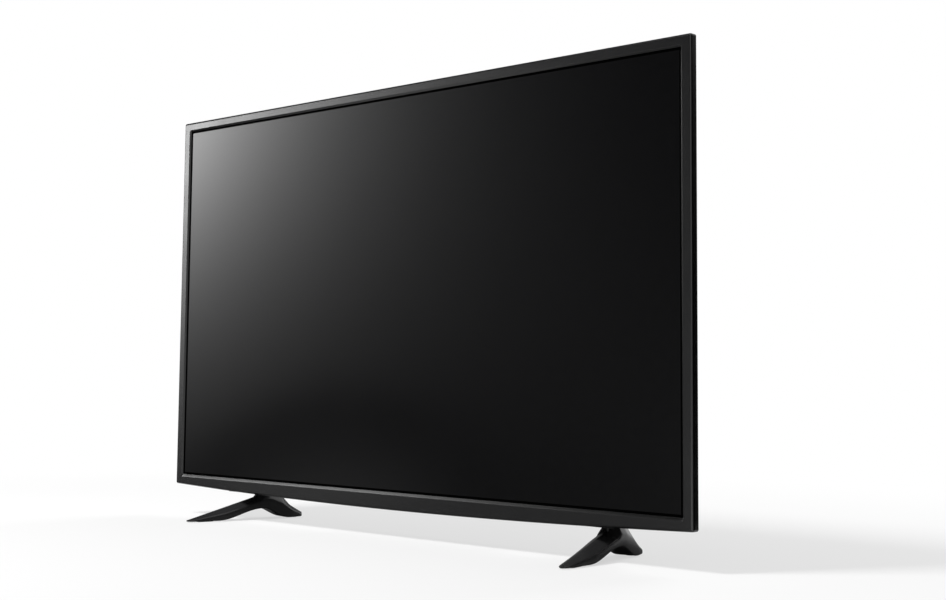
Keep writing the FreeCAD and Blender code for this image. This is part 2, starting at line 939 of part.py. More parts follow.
def optical_socket():
    """The optical sound output, with its square mouth."""
    offset, long, tall, mouth_long, mouth_tall = optical_socket_size
    x = lower_place(offset)
    body = joined([lower_frame(x, long, tall, socket_length, socket_start_z), lower_foot(x, long)])
    return body.cut(lower_frame(x, mouth_long, mouth_tall, mouth_depth, socket_start_z - 1))


def barrel(offset, radius, bore_radius):
    """A round socket that stands out into the lower recess."""
    start = lower_wall_z - barrel_length
    length = barrel_length + socket_recess + socket_length
    x = lower_place(offset)
    bar = rod(x, jack_y, start, UP, radius, length)
    return bar.cut(rod(x, jack_y, start - 1, UP, bore_radius, mouth_depth + 1))


def antenna_socket():
    """The aerial socket, a round barrel with a narrow bore."""
    foot = lower_foot(lower_place(antenna_offset), 2 * antenna_radius)
    return joined([barrel(antenna_offset, antenna_radius, antenna_bore), foot])


def video_sockets():
    """Three round sockets for picture and sound."""
    return [
        joined([barrel(offset, video_radius, video_bore), lower_foot(lower_place(offset), 2 * video_radius)])
        for offset in video_offsets
    ]


def socket_holes():
    """What the sockets take out of the two jack plates, with a gap round each."""
    gap = 2 * jack_gap
    span = cover_wall + jack_plate_thickness + 2
    holes = []
    for name, (_, long, tall, _, _, _) in side_sockets.items():
        holes.append(side_frame(side_height(name), long + gap, tall + gap, span, side_wall_x - 1))
    width = headphone_body + gap
    holes.append(side_frame(board_low_z + headphone_rise, width, width, span, side_wall_x - 1))
    for offset, long, tall, _, _ in (network_socket_size, optical_socket_size):
        holes.append(lower_frame(lower_place(offset), long + gap, tall + gap, span, lower_wall_z - 1))
    round_ones = [(antenna_offset, antenna_radius)] + [(offset, video_radius) for offset in video_offsets]
    for offset, radius in round_ones:
        holes.append(rod(lower_place(offset), jack_y, lower_wall_z - 1, UP, radius + jack_gap, span))
    return holes


def side_jack_plate():
    """The plate behind the side recess, with a hole for each socket."""
    plate = box(side_plate_x, side_plate_x + jack_plate_thickness, opening_low_y - jack_plate_rim,
                opening_high_y + jack_plate_rim, side_recess_low_z + jack_margin - jack_plate_lap,
                side_recess_high_z - jack_margin + jack_plate_lap)
    return without(plate, socket_holes())


def lower_jack_plate():
    """The plate above the lower recess, with a hole for each socket."""
    lap = jack_margin - jack_plate_lap
    plate = box(side_wall_x + cover_wall + lap, -board_near_x - lap, opening_low_y - jack_plate_rim,
                opening_high_y + jack_plate_rim, lower_plate_z, lower_plate_z + jack_plate_thickness)
    return without(plate, socket_holes())


def ac_inlet():
    """The mains inlet, a two pin socket that faces down."""
    x = inlet_x
    body = lower_frame(x, inlet_length, inlet_tall, inlet_depth, socket_start_z)
    flange = lower_frame(x, inlet_length + 2 * inlet_flange, inlet_tall + inlet_flange,
                         inlet_flange_thickness, lower_plate_z)
    foot = box(x - inlet_length / 2, x + inlet_length / 2, board_rear_y, jack_y,
               lower_plate_z + inlet_flange_thickness, socket_start_z + inlet_depth)
    mouth = lower_frame(x, inlet_mouth_length, inlet_mouth_tall, inlet_mouth_depth + 1, socket_start_z - 1)
    pin_length = inlet_mouth_depth - tongue_step + 1
    pins = [
        rod(x + side * inlet_pin_pitch / 2, jack_y, socket_start_z + tongue_step, UP, inlet_pin_radius,
            pin_length)
        for side in (-1, 1)
    ]
    return joined([without(joined([body, flange, foot]), [mouth])] + pins)


def recess_blocks(wall):
    """The hollows in the back for plugs, the two lower ones open below for their leads."""
    floor = recess_floor_y - wall
    beyond = rear_y + recess_overrun
    below = bow(0) - recess_overrun
    return [
        box(-belly_half_width - recess_overrun, side_wall_x + wall, floor, beyond, side_recess_low_z - wall,
            side_recess_high_z + wall),
        box(side_wall_x - wall, -board_near_x + wall, floor, beyond, below, lower_wall_z + wall),
        box(inlet_x - inlet_recess_half_width - wall, inlet_x + inlet_recess_half_width + wall, floor, beyond,
            below, lower_wall_z + wall),
    ]


def recess_openings():
    """The openings in the recess walls that the jack plates and the inlet fill."""
    gap = 2 * jack_gap
    return [
        box(side_wall_x - 1, side_plate_x + 1, opening_low_y, opening_high_y,
            side_recess_low_z + jack_margin, side_recess_high_z - jack_margin),
        box(side_wall_x + cover_wall + jack_margin, -board_near_x - jack_margin, opening_low_y,
            opening_high_y, lower_wall_z - 1, lower_plate_z + 1),
        lower_frame(inlet_x, inlet_length + gap, inlet_tall + gap, cover_wall + 2, lower_wall_z - 1),
    ]


def cover_solid(inset, start_y):
    """The back's full form, drawn in by an inset: a rim, a slope and the deep belly."""
    skirt_y = cover_front_y + skirt_depth
    thin_y = plateau_y - inset
    crown_y = rear_y - belly_crown - inset
    low = belly_rise + inset
    side = inset + belly_slope
    rim = Part.Face(outline(inset, start_y)).extrude(Vector(0, skirt_y - start_y, 0))
    slope = taper(outline(inset, skirt_y), outline(inset + rim_slope, thin_y))
    base = Part.Face(belly_outline(inset, start_y, low)).extrude(Vector(0, thin_y - start_y, 0))
    rise = taper(belly_outline(inset, thin_y, low), belly_outline(side, crown_y, low))
    crown = taper(
        belly_outline(side, crown_y, low),
        belly_outline(side + belly_crown_slope, rear_y - inset, low),
    )
    return joined([rim, slope, base, rise, crown])


def cover_screw_places():
    """The screws round the thin part of the back."""
    side = half_width - cover_screw_inset
    top = cabinet_top_z - cover_screw_inset
    right = [(side / 3, top), (side, top)] + [(side, z) for z in cover_screw_heights]
    return [(-x, z) for x, z in right] + right


def row_of_slots(x0, x1, pitch, width, y0, y1, z0, z1):
    """A row of upright slots, evenly spaced about the middle of a stretch."""
    count = int((x1 - x0) // pitch)
    start = (x0 + x1) / 2 - pitch * (count - 1) / 2
    return [box(start + pitch * i - width / 2, start + pitch * i + width / 2, y0, y1, z0, z1)
            for i in range(count)]


def vent_slots():
    """Air slots high on the belly, low on it, and under the speakers."""
    reach = belly_half_width - belly_slope - vent_margin
    drop = (belly_slope - vent_height) / 2 + vent_drop
    high = row_of_slots(-reach, reach, vent_pitch, vent_width, plateau_y, rear_y + 1,
                        belly_top - drop - vent_height, belly_top - drop)
    low = row_of_slots(-low_vent_reach, low_vent_reach, vent_pitch, vent_width, cover_inner_y - 1, rear_y + 1,
                       key_seat_z + vent_height, key_seat_z + 2 * vent_height)
    middle = (speaker_near_x + speaker_far_x) / 2
    reach = cone_half_length + grille_overrun
    grille = row_of_slots(middle - reach, middle + reach, grille_pitch, grille_width,
                          speaker_front_y + speaker_wall, speaker_rear_y - speaker_wall, bow(0), speaker_low_z)
    return high + low + grille + [mirrored(slot) for slot in grille]


def leg_seats():
    """Flat blocks on the lower edge that the legs stand against."""
    seats = []
    for side in (-1, 1):
        seats.append(box(side * leg_x - seat_half_width, side * leg_x + seat_half_width, cover_front_y,
                         cover_inner_y - 1, leg_seat_z, seat_top_z))
    return seats


def rear_cover():
    """The rear shell, with its recesses, vents, seats and screw holes."""
    outer = without(cover_solid(0, cover_front_y), recess_blocks(0))
    hollow = without(cover_solid(cover_wall, cover_front_y - 1), recess_blocks(cover_wall))
    bosses = [rod(x, tray_back_y, z, BACK, cover_screw_head_radius + 1, tray_gap + 1)
              for x, z in cover_screw_places()]
    shell = joined([outer.cut(hollow)] + leg_seats() + bosses)
    cuts = recess_openings() + vent_slots()
    cuts += [rod(x, tray_back_y - 1, z, BACK, cover_screw_radius + shank_gap, belly_depth)
             for x, z in cover_screw_places()]
    cuts += [rod(x, plateau_y, z, BACK, mount_post_radius + shank_gap, belly_depth + 1)
             for x, z in mount_places()]
    cuts.append(rod(0, key_y, bow(0), UP, key_cap_radius + key_hole_margin, key_seat_z - bow(0) + 1))
    cuts += leg_tools(tenon_block(shank_gap))
    return without(shell, cuts)


def cover_screws():
    """Screws that draw the rear cover against the tray."""
    screws = []
    for x, z in cover_screw_places():
        shank = rod(x, tray_floor_y, z, BACK, cover_screw_radius, plateau_y - tray_floor_y)
        head = rod(x, plateau_y, z, BACK, cover_screw_head_radius, cover_screw_head_height)
        screws.append(joined([shank, head]))
    return screws


def race_track(x, half_length, half_width, z, height):
    """An upright solid with straight sides and round ends, seen from above."""
    middle_y = (speaker_front_y + speaker_rear_y) / 2
    straight = half_length - half_width
    return joined([
        box(x - straight, x + straight, middle_y - half_width, middle_y + half_width, z, z + height),
        rod(x - straight, middle_y, z, UP, half_width, height),
        rod(x + straight, middle_y, z, UP, half_width, height),
    ])


def right_speaker():
    """A closed speaker box that sounds downwards."""
    shell = box(speaker_near_x, speaker_far_x, speaker_front_y, speaker_rear_y, speaker_low_z, speaker_high_z)
    wall = speaker_wall
    hollow = box(speaker_near_x + wall, speaker_far_x - wall, speaker_front_y + wall, speaker_rear_y - wall,
                 speaker_low_z + wall, speaker_high_z - wall)
    middle = (speaker_near_x + speaker_far_x) / 2
    hole = race_track(middle, cone_half_length + jack_gap, cone_half_width + jack_gap, speaker_low_z - 1,
                      wall + 2)
    return without(shell, [hollow, hole])


def speaker_cones():
    """The drivers, which sit in their boxes and face the slots below."""
    middle = (speaker_near_x + speaker_far_x) / 2
    body = race_track(middle, cone_half_length, cone_half_width, speaker_low_z, cone_depth)
    flange = race_track(middle, cone_half_length + cone_flange, cone_half_width + cone_flange,
                        speaker_low_z + speaker_wall, cone_flange)
    dish = race_track(middle, cone_half_length - cone_dish, cone_half_width - cone_dish, speaker_low_z - 1,
                      cone_dish + 1)
    driver = joined([body, flange]).cut(dish)
    return [driver, mirrored(driver)]


def speaker_bushes():
    """Rubber feet that hold the speaker boxes to the back."""
    z = (speaker_low_z + speaker_high_z) / 2
    bushes = [rod(x, speaker_rear_y, z, BACK, bush_radius, cover_inner_y - speaker_rear_y)
              for x in (speaker_near_x + bush_inset, speaker_far_x - bush_inset)]
    return bushes + [mirrored(bush) for bush in bushes]


def key_housing():
    """The open box that the control key swings in."""
    inner = ring_radius + 2 * key_gap
    outer = inner + key_housing_wall
    foot = key_seat_z + key_gap / 3
    block = box(-outer, outer, key_y - outer, key_y + outer, foot,
                key_ceiling_z + key_housing_wall)
    hollow = box(-inner, inner, key_y - inner, key_y + inner, foot - 1, key_ceiling_z)
    pin_hole = rod(0, key_y - outer - 1, key_pivot_z, BACK, key_pin_radius + key_pin_gap, 2 * outer + 2)
    return without(block, [hollow, pin_hole])


def key_ring():
    """The swinging ring, on two pins that run from front to back."""
    reach = ring_radius + 2 * key_gap + key_housing_wall
    ring = rod(0, key_y, key_pivot_z - ring_height / 2, UP, ring_radius, ring_height)
    pins = rod(0, key_y - reach, key_pivot_z, BACK, key_pin_radius, 2 * reach)
    bore = rod(0, key_y, key_pivot_z - ring_height, UP, ring_bore, 2 * ring_height)
    cross = rod(-ring_radius - 1, key_y, key_pivot_z, RIGHT, key_pin_radius + key_pin_gap,
                2 * ring_radius + 2)
    return without(joined([ring, pins]), [bore, cross])


def key_stem():
    """The sleeve inside the ring, on two pins that run from side to side."""
    sleeve = rod(0, key_y, key_pivot_z - stem_height / 2, UP, stem_radius, stem_height)
    reach = ring_radius - stem_pin_gap
    pins = rod(-reach, key_y, key_pivot_z, RIGHT, key_pin_radius, 2 * reach)
    bore = rod(0, key_y, key_pivot_z - stem_height, UP, key_shaft_radius + key_gap, 2 * stem_height)
    return joined([sleeve, pins]).cut(bore)


def key_cap():
    """The round cap under the screen's lower edge, on a shaft through the sleeve."""
    disc = rod(0, key_y, key_low_z, UP, key_cap_radius, key_cap_height)
    rim = [edge for edge in disc.Edges if edge.BoundBox.ZMax < key_low_z + 0.01]
    disc = disc.makeFillet(key_cap_round, rim)
    head_z = key_pivot_z + stem_height / 2
    shaft = rod(0, key_y, key_low_z + key_cap_height, UP, key_shaft_radius,
                head_z - key_low_z - key_cap_height)
    head = rod(0, key_y, head_z, UP, stem_head_radius, stem_head_height)
    return joined([disc, shaft, head])


def key_board():
    """The small board above the key, with the remote sensor's lead."""
    top = key_ceiling_z + key_housing_wall
    half = key_board_length / 2
    board = box(-half, half, key_y - key_board_depth / 2, key_y + key_board_depth / 2, top,
                top + key_board_thickness)
    x = -half + key_chip_inset
    chip = box(x, x + key_chip, key_y - key_chip / 2, key_y + key_chip / 2, top - chip_thickness / 2, top)
    return joined([board, chip])


def along(knots, s):
    """A value read off straight lines between knots."""
    for (s0, v0), (s1, v1) in zip(knots, knots[1:]):
        if s <= s1:
            return v0 + (v1 - v0) * (s - s0) / (s1 - s0)
    return knots[-1][1]


def leg_top(s):
    """Height of the leg's ridge along its line."""
    knots = [
        (-leg_half_length, front_tip_height),
        (front_root_s, front_root_height),
        (neck_front_s, leg_seat_z),
        (neck_rear_s, leg_seat_z),
        (rear_slope_s, rear_slope_height),
        (rear_shoulder_s, rear_shoulder_height),
        (leg_half_length, rear_tip_height),
    ]
    return along(knots, s)


def leg_low(s):
    """Height of the leg's underside: flat at both feet, with a round arch between them."""
    if s <= arch_front_s or s >= arch_rear_s:
        return leg_lift
    foot = arch_front_s if s < arch_peak_s else arch_rear_s
    t = (s - foot) / (arch_peak_s - foot)
    return leg_lift + arch_height * (0.5 - 0.5 * math.cos(math.pi * t))


def leg_side(s):
    """Half the leg's width along its line, rounded off at both tips."""
    knots = [
        (-leg_half_length, front_tip_half_width),
        (front_wide_s, front_half_width),
        (neck_front_s, neck_half_width),
        (neck_rear_s, neck_half_width),
        (rear_shoulder_s, shoulder_half_width),
        (leg_half_length, rear_tip_half_width),
    ]
    inside = min((leg_half_length - abs(s)) / tip_taper, 1.0)
    return max(along(knots, s) * math.sqrt(1 - (1 - inside) ** 2), tip_half_width)


def leg_ridge(s):
    """Half the width of the leg's flat top: a narrow ridge, and wide at the neck."""
    knots = [
        (-leg_half_length, tip_ridge_half_width),
        (front_root_s, ridge_half_width),
        (neck_front_s, neck_top_half_width),
        (neck_rear_s, neck_top_half_width),
        (rear_shoulder_s, ridge_half_width),
        (leg_half_length, tip_ridge_half_width),
    ]
    return along(knots, s)


def leg_section(s):
    """One cross section of the leg: a flat sole, upright sides and a ridge."""
    side = leg_side(s)
    ridge = min(leg_ridge(s), side * ridge_share)
    low = leg_low(s)
    top = leg_top(s)
    shoulder = low + side_share * (top - low)
    points = [(-side, low), (side, low), (side, shoulder), (ridge, top), (-ridge, top), (-side, shoulder)]
    corners = [Vector(x, s, z) for x, z in points]
    return Part.makePolygon(corners + corners[:1])


def between(start, end, count):
    """Even steps from a start towards an end, without the end."""
    return [start + (end - start) * i / count for i in range(count)]


def leg_stations():
    """Where the cross sections stand: closer together at the tips and along the arch."""
    tip = [leg_half_length - tip_taper * f for f in (0, 0.15, 0.45, 1.0)]
    middle = between(arch_front_s, front_wide_s, 1) + between(front_wide_s, front_root_s, 4)
    middle += between(front_root_s, neck_front_s, 1) + between(neck_front_s, arch_peak_s, 1)
    middle += between(arch_peak_s, neck_rear_s, 2) + between(neck_rear_s, rear_slope_s, 2)
    middle += [rear_slope_s, arch_rear_s, rear_shoulder_s]
    return [-s for s in tip] + middle + tip[::-1]


def tenon_block(gap):
    """The leg's upper end, with a gap round it for the slot that it passes through."""
    rise = leg_seat_z + tenon_height
    return box(-tenon_half_width - gap, tenon_half_width + gap, tenon_front_s - gap, tenon_rear_s + gap,
               leg_seat_z - gap - 0.5, rise + gap)


def leg_screw_places():
    """The two screws of a leg, along its line."""
    middle = (tenon_front_s + tenon_rear_s) / 2
    return [middle - leg_screw_pitch / 2, middle + leg_screw_pitch / 2]


def screw_top():
    """Height of a leg screw's end."""
    return leg_seat_z + tenon_height + shank_gap + bracket_top


def placed_leg(shape, side):
    """Turns a piece of the leg outwards at the front and moves it under its side of the set."""
    moved = shape.copy()
    moved.rotate(Vector(0, 0, 0), UP, leg_splay)
    moved.translate(Vector(leg_x, 0, 0))
    return moved if side > 0 else mirrored(moved)


def leg_tools(shape):
    """The same shape placed for both legs."""
    return [placed_leg(shape, side) for side in (-1, 1)]


def foot_pad(s, half_length, half_width):
    """One rubber pad, from the floor up into the leg's sole."""
    pad = box(-half_width, half_width, s - half_length, s + half_length, 0, pad_thickness)
    upright = [edge for edge in pad.Edges if edge.BoundBox.ZLength > pad_thickness / 2]
    return pad.makeFillet(half_width * 0.6, upright)


def pad_pair(gap):
    """The two pads of a leg, with a gap round them."""
    return [
        foot_pad(front_pad_s, front_pad_half_length + gap, front_pad_half_width + gap),
        foot_pad(rear_pad_s, rear_pad_half_length + gap, rear_pad_half_width + gap),
    ]


def leg():
    """A leg in its own line: two prongs, the neck and the tenon."""
    body = Part.makeLoft([leg_section(s) for s in leg_stations()], True, True)
    solid = joined([body, tenon_block(0)])
    cuts = pad_pair(shank_gap)
    seat = screw_top() - leg_screw_length
    for s in leg_screw_places():
        cuts.append(rod(0, s, 0, UP, leg_screw_radius + shank_gap, screw_top() + 1))
        cuts.append(rod(0, s, 0, UP, leg_screw_head_radius + shank_gap, seat))
    return without(solid, cuts)


def leg_screws():
    """Screws that go up through each leg into its bracket."""
    seat = screw_top() - leg_screw_length
    screws = []
    for s in leg_screw_places():
        shank = rod(0, s, seat, UP, leg_screw_radius, leg_screw_length)
        head = rod(0, s, seat - leg_screw_head_height, UP, leg_screw_head_radius, leg_screw_head_height)
        screws += leg_tools(joined([shank, head]))
    return screws


def leg_brackets():
    """Metal sockets that carry the legs' tenons, on plates behind the tray."""
    low = seat_top_z + shank_gap
    high = screw_top()
    gap = tenon_block(shank_gap)
    slot = tenon_half_width + shank_gap
    inner = slot + bracket_wall
    front = tenon_front_s - shank_gap - 2 * bracket_wall
    socket = box(-inner, inner, front, tenon_rear_s - 1, low, high)
    threads = [rod(0, s, low, UP, leg_screw_radius + thread_gap, high) for s in leg_screw_places()]
    open_back = box(-slot, slot, tenon_front_s, tenon_rear_s, low - 1, leg_seat_z + tenon_height + shank_gap)
    sockets = leg_tools(without(socket, [gap, open_back] + threads))
    brackets = []
    for side, piece in zip((-1, 1), sockets):
        plate = box(side * leg_x - bracket_half_width, side * leg_x + bracket_half_width, tray_back_y,
                    tray_back_y + bracket_plate, low, low + bracket_height)
        brackets.append(joined([plate, piece]))
    return brackets


def main():
    os.makedirs("parts", exist_ok=True)
    pieces = {
        "front_bezel": [front_bezel()],
        "sensor_window": [sensor_window()],
        "bezel_gasket": [window_ring(gasket_outer, gasket_inner, front_y + frame_face, cell_front_y)],
        "front_polarizer": [
            grown_window(polarizer_overlap, cell_front_y - polarizer_thickness, cell_front_y)],
        "lcd_cell": [grown_window(cell_overlap, cell_front_y, ledge_front_y)],
        "rear_polarizer": [
            grown_window(rear_polarizer_overlap, ledge_front_y, ledge_front_y + polarizer_thickness)],
        "panel_guide": [panel_guide()],
        "diffuser_plate": [grown_window(sheet_overlap, plate_front_y, tray_front_y)],
        "plate_posts": plate_posts(),
        "reflector_sheet": [reflector_sheet()],
        "led_strips": led_strips(),
        "led_lenses": led_lenses(),
        "back_tray": [back_tray()],
        "mount_rails": mount_rails(),
        "mount_posts": mount_posts(),
        "source_boards": source_boards(),
        "panel_films": panel_films(),
        "timing_board": [timing_board()],
        "panel_cables": panel_cables(),
        "signal_cable": [signal_cable()],
        "board_pillars": board_pillars(),
        "board_screws": board_screws(),
        "main_board": [main_board()],
        "processor_heat_sink": [processor_heat_sink()],
        "tuner_can": [tuner_can()],
        "power_board": [power_board()],
        "power_transformers": power_transformers(),
        "power_capacitors": power_capacitors(),
        "power_heat_sinks": power_heat_sinks(),
        "wireless_board": [wireless_board()],
        "hdmi_sockets": [side_socket("hdmi_one"), side_socket("hdmi_two")],
        "usb_socket": [side_socket("usb")],
        "headphone_socket": [headphone_socket()],
        "antenna_socket": [antenna_socket()],
        "network_socket": [network_socket()],
        "optical_socket": [optical_socket()],
        "video_sockets": video_sockets(),
        "side_jack_plate": [side_jack_plate()],
        "lower_jack_plate": [lower_jack_plate()],
        "ac_inlet": [ac_inlet()],
        "right_speaker": [right_speaker()],
        "left_speaker": [mirrored(right_speaker())],
        "speaker_cones": speaker_cones(),
        "speaker_bushes": speaker_bushes(),
        "key_housing": [key_housing()],
        "key_ring": [key_ring()],
        "key_stem": [key_stem()],
        "key_cap": [key_cap()],
        "key_board": [key_board()],
        "leg_brackets": leg_brackets(),
        "right_leg": [placed_leg(leg(), 1)],
        "left_leg": [placed_leg(leg(), -1)],
        "leg_pads": [placed_leg(pad, side) for pad in pad_pair(0) for side in (-1, 1)],
        "leg_screws": leg_screws(),
        "cover_screws": cover_screws(),
        "rear_cover": [rear_cover()],
    }
    sheets = ("brightness_sheet", "prism_sheet", "diffuser_sheet")
    for i, name in enumerate(sheets):
        front = ledge_rear_y + i * sheet_thickness
        pieces[name] = [grown_window(sheet_overlap, front, front + sheet_thickness)]
    for name, shapes in pieces.items():
        save(name, shapes)


main()
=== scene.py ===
import json
import logging
import math
from dataclasses import dataclass
from enum import Enum
from typing import Optional, Sequence, Union

import bmesh
import bpy
import numpy as np
from mathutils import Matrix, Vector


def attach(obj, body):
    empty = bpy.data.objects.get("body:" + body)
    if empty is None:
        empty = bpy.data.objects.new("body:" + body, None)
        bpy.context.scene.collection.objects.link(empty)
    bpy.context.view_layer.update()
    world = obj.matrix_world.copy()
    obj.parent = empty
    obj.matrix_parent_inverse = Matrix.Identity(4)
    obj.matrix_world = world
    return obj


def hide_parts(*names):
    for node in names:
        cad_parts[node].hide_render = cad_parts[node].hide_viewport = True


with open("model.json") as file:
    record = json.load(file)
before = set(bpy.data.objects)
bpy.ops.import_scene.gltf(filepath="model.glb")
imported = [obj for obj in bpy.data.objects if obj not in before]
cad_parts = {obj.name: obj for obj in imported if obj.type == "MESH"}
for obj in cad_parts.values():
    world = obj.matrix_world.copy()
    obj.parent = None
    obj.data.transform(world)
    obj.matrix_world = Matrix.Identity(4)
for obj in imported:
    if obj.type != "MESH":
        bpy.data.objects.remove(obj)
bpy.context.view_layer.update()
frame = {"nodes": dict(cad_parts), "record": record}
LOG = logging.getLogger("television")

MM = 0.001
PICTURE = (946.0, 600.0)
CABINET = "cabinet"
UPWARDS = Vector((0.0, 0.0, 1.0))
Colour = tuple[float, float, float]
Place = tuple[float, float, float]
Run = Union[float, np.ndarray]
Input = Union["Signal", float, Sequence[float]]


class Signal:
    """A shader socket that stands in a formula with numbers and with other sockets."""

    def __init__(self, sheet: "Sheet", socket: bpy.types.NodeSocket) -> None:
        """Keeps the sheet that the socket belongs to.

        Args:
            sheet: the material's sheet of nodes.
            socket: the output that this signal stands for.
        """
        self.sheet = sheet
        self.socket = socket

    def math(self, operation: str, *values: Input) -> "Signal":
        """One Math node on this sheet.

        Args:
            operation: the node's operation.
            values: what it works on, in order.

        Returns:
            The node's result.
        """
        return self.sheet.add("ShaderNodeMath", {"operation": operation}, dict(enumerate(values)))

    def __add__(self, other: Input) -> "Signal":
        """This plus another."""
        return self.math("ADD", self, other)

    def __sub__(self, other: Input) -> "Signal":
        """This less another."""
        return self.math("SUBTRACT", self, other)

    def __rsub__(self, other: Input) -> "Signal":
        """Another less this."""
        return self.math("SUBTRACT", other, self)

    def __mul__(self, other: Input) -> "Signal":
        """This times another."""
        return self.math("MULTIPLY", self, other)

    def __abs__(self) -> "Signal":
        """This without its sign."""
        return self.math("ABSOLUTE", self)

    __radd__ = __add__
    __rmul__ = __mul__

    def step(self, low: float, high: float) -> "Signal":
        """A smooth rise from 0 to 1.

        Args:
            low: where it starts to rise.
            high: where it is 1.

        Returns:
            The risen signal.
        """
        return self.sheet.add(
            "ShaderNodeMapRange",
            {"interpolation_type": "SMOOTHSTEP"},
            {"Value": self, "From Min": low, "From Max": high},
        )


class Sheet:
    """The nodes of one material, written as formulas."""

    def __init__(self, owner: Union[bpy.types.Material, bpy.types.World]) -> None:
        """Empties the owner's nodes.

        Args:
            owner: the material or world whose nodes these are.
        """
        owner.use_nodes = True
        self.tree = owner.node_tree
        self.tree.nodes.clear()

    def add(
        self,
        kind: str,
        settings: Optional[dict] = None,
        inputs: Optional[dict] = None,
        output: Union[int, str] = 0,
    ) -> Signal:
        """Adds any node.

        Args:
            kind: the node's type.
            settings: its own settings, which are set first.
            inputs: values or signals for its sockets, by name or place.
            output: the socket that is given back.

        Returns:
            The chosen output.
        """
        node = self.tree.nodes.new(kind)
        for name, value in (settings or {}).items():
            setattr(node, name, value)
        for place, value in (inputs or {}).items():
            if isinstance(value, Signal):
                self.tree.links.new(value.socket, node.inputs[place])
            else:
                node.inputs[place].default_value = value
        return Signal(self, node.outputs[output])

    def add_output(self, shader: Signal, kind: str = "ShaderNodeOutputMaterial") -> None:
        """Joins a finished shader to the output.

        Args:
            shader: the shader.
            kind: the output node's type.
        """
        node = self.tree.nodes.new(kind)
        self.tree.links.new(shader.socket, node.inputs["Surface"])

    def place(self, scale: Sequence[float] = (1.0, 1.0, 1.0)) -> Signal:
        """The object's own coordinates, stretched.

        Args:
            scale: how much each axis is multiplied.

        Returns:
            The stretched coordinates.
        """
        own = self.add("ShaderNodeTexCoord", output="Object")
        return self.add("ShaderNodeMapping", None, {"Vector": own, "Scale": tuple(scale)})

    def axis(self, number: int) -> Signal:
        """The object's own coordinate along axis 0, 1 or 2."""
        return self.add("ShaderNodeSeparateXYZ", None, {0: self.place()}, number)

    def along(self, direction: Sequence[float], start: float) -> Signal:
        """How far a place lies along a direction.

        Args:
            direction: the direction, of length 1.
            start: the distance that counts as 0.

        Returns:
            The distance past the start.
        """
        settings = {"operation": "DOT_PRODUCT"}
        inputs = {0: self.place(), 1: tuple(direction)}
        return self.add("ShaderNodeVectorMath", settings, inputs, "Value") - start

    def away(self, point: Sequence[float] = (0.0, 0.0, 0.0)) -> Signal:
        """The distance from a point."""
        inputs = {0: self.place(), 1: tuple(point)}
        return self.add("ShaderNodeVectorMath", {"operation": "DISTANCE"}, inputs, "Value")

    def ray(self, kind: str) -> Signal:
        """1 for the named kind of light ray and 0 for the others."""
        return self.add("ShaderNodeLightPath", output=kind)

    def noise(self, scale: Sequence[float], detail: float = 2.0, lift: float = 0.5) -> Signal:
        """Cloudy noise with its own grain along each axis.

        Args:
            scale: grains to the metre along each axis.
            detail: how many finer layers it has.
            lift: how strong the finer layers are.

        Returns:
            A value about 0.5.
        """
        return self.add(
            "ShaderNodeTexNoise",
            None,
            {"Vector": self.place(scale), "Scale": 1.0, "Detail": detail, "Roughness": lift},
        )

    def cells(
        self, scale: Sequence[float], measure: str = "EUCLIDEAN", output: str = "Distance"
    ) -> Signal:
        """Cells round scattered points.

        Args:
            scale: cells to the metre along each axis.
            measure: how the distance is measured.
            output: the wanted socket.

        Returns:
            The distance to the nearest point, or its colour.
        """
        return self.add(
            "ShaderNodeTexVoronoi",
            {"distance": measure},
            {"Vector": self.place(scale), "Scale": 1.0},
            output,
        )

    def mix(self, share: Input, first: Input, second: Input) -> Signal:
        """A colour between two colours.

        Args:
            share: 0 for the first and 1 for the second.
            first: the first colour.
            second: the second colour.

        Returns:
            The mixed colour.
        """
        inputs = {0: share, 6: opaque(first), 7: opaque(second)}
        return self.add("ShaderNodeMix", {"data_type": "RGBA"}, inputs, 2)

    def blend(self, share: Input, first: Signal, second: Signal) -> Signal:
        """A shader between two shaders: share 0 gives the first and 1 the second."""
        return self.add("ShaderNodeMixShader", None, {0: share, 1: first, 2: second})


def opaque(colour: Input) -> Input:
    """A colour with its alpha, or a signal as it is.

    Args:
        colour: three numbers, or a signal.

    Returns:
        Four numbers, or the signal.
    """
    return colour if isinstance(colour, Signal) else (*colour, 1.0)


class Grain(Enum):
    """The fine structure that a surface has."""

    SPARK = "the eroded texture of a steel mould"
    HAIRLINE = "long fine lines along the width"
    PEEL = "the slow waves of a glossy moulding"
    SPANGLE = "crystals of a zinc coat"
    TURNED = "rings left by a lathe"
    TRACES = "copper paths under lacquer"
    FIBRE = "short fibres"
    FOAM = "open cells"


# How many times longer a grain is along each axis, and the layers of the grains made of noise.
STRETCH = {
    Grain.HAIRLINE: (90.0, 1.0, 1.0),
    Grain.TURNED: (12.0, 1.0, 12.0),
    Grain.FIBRE: (1.0, 1.0, 5.0),
}
LAYERS = {
    Grain.HAIRLINE: (3.0, 0.6),
    Grain.PEEL: (0.0, 0.5),
    Grain.TURNED: (1.0, 0.5),
    Grain.FIBRE: (4.0, 0.7),
}
# Where a copper path, a pit and a cloud start and are whole, and how pits and bumps share a grain.
TRACE_EDGE = (0.28, 0.34)
PIT_EDGE = (0.1, 0.6)
CLOUD_EDGE = (0.3, 0.7)
PIT_SHARE = 0.4
BUMPS_TO_PIT = 1.7


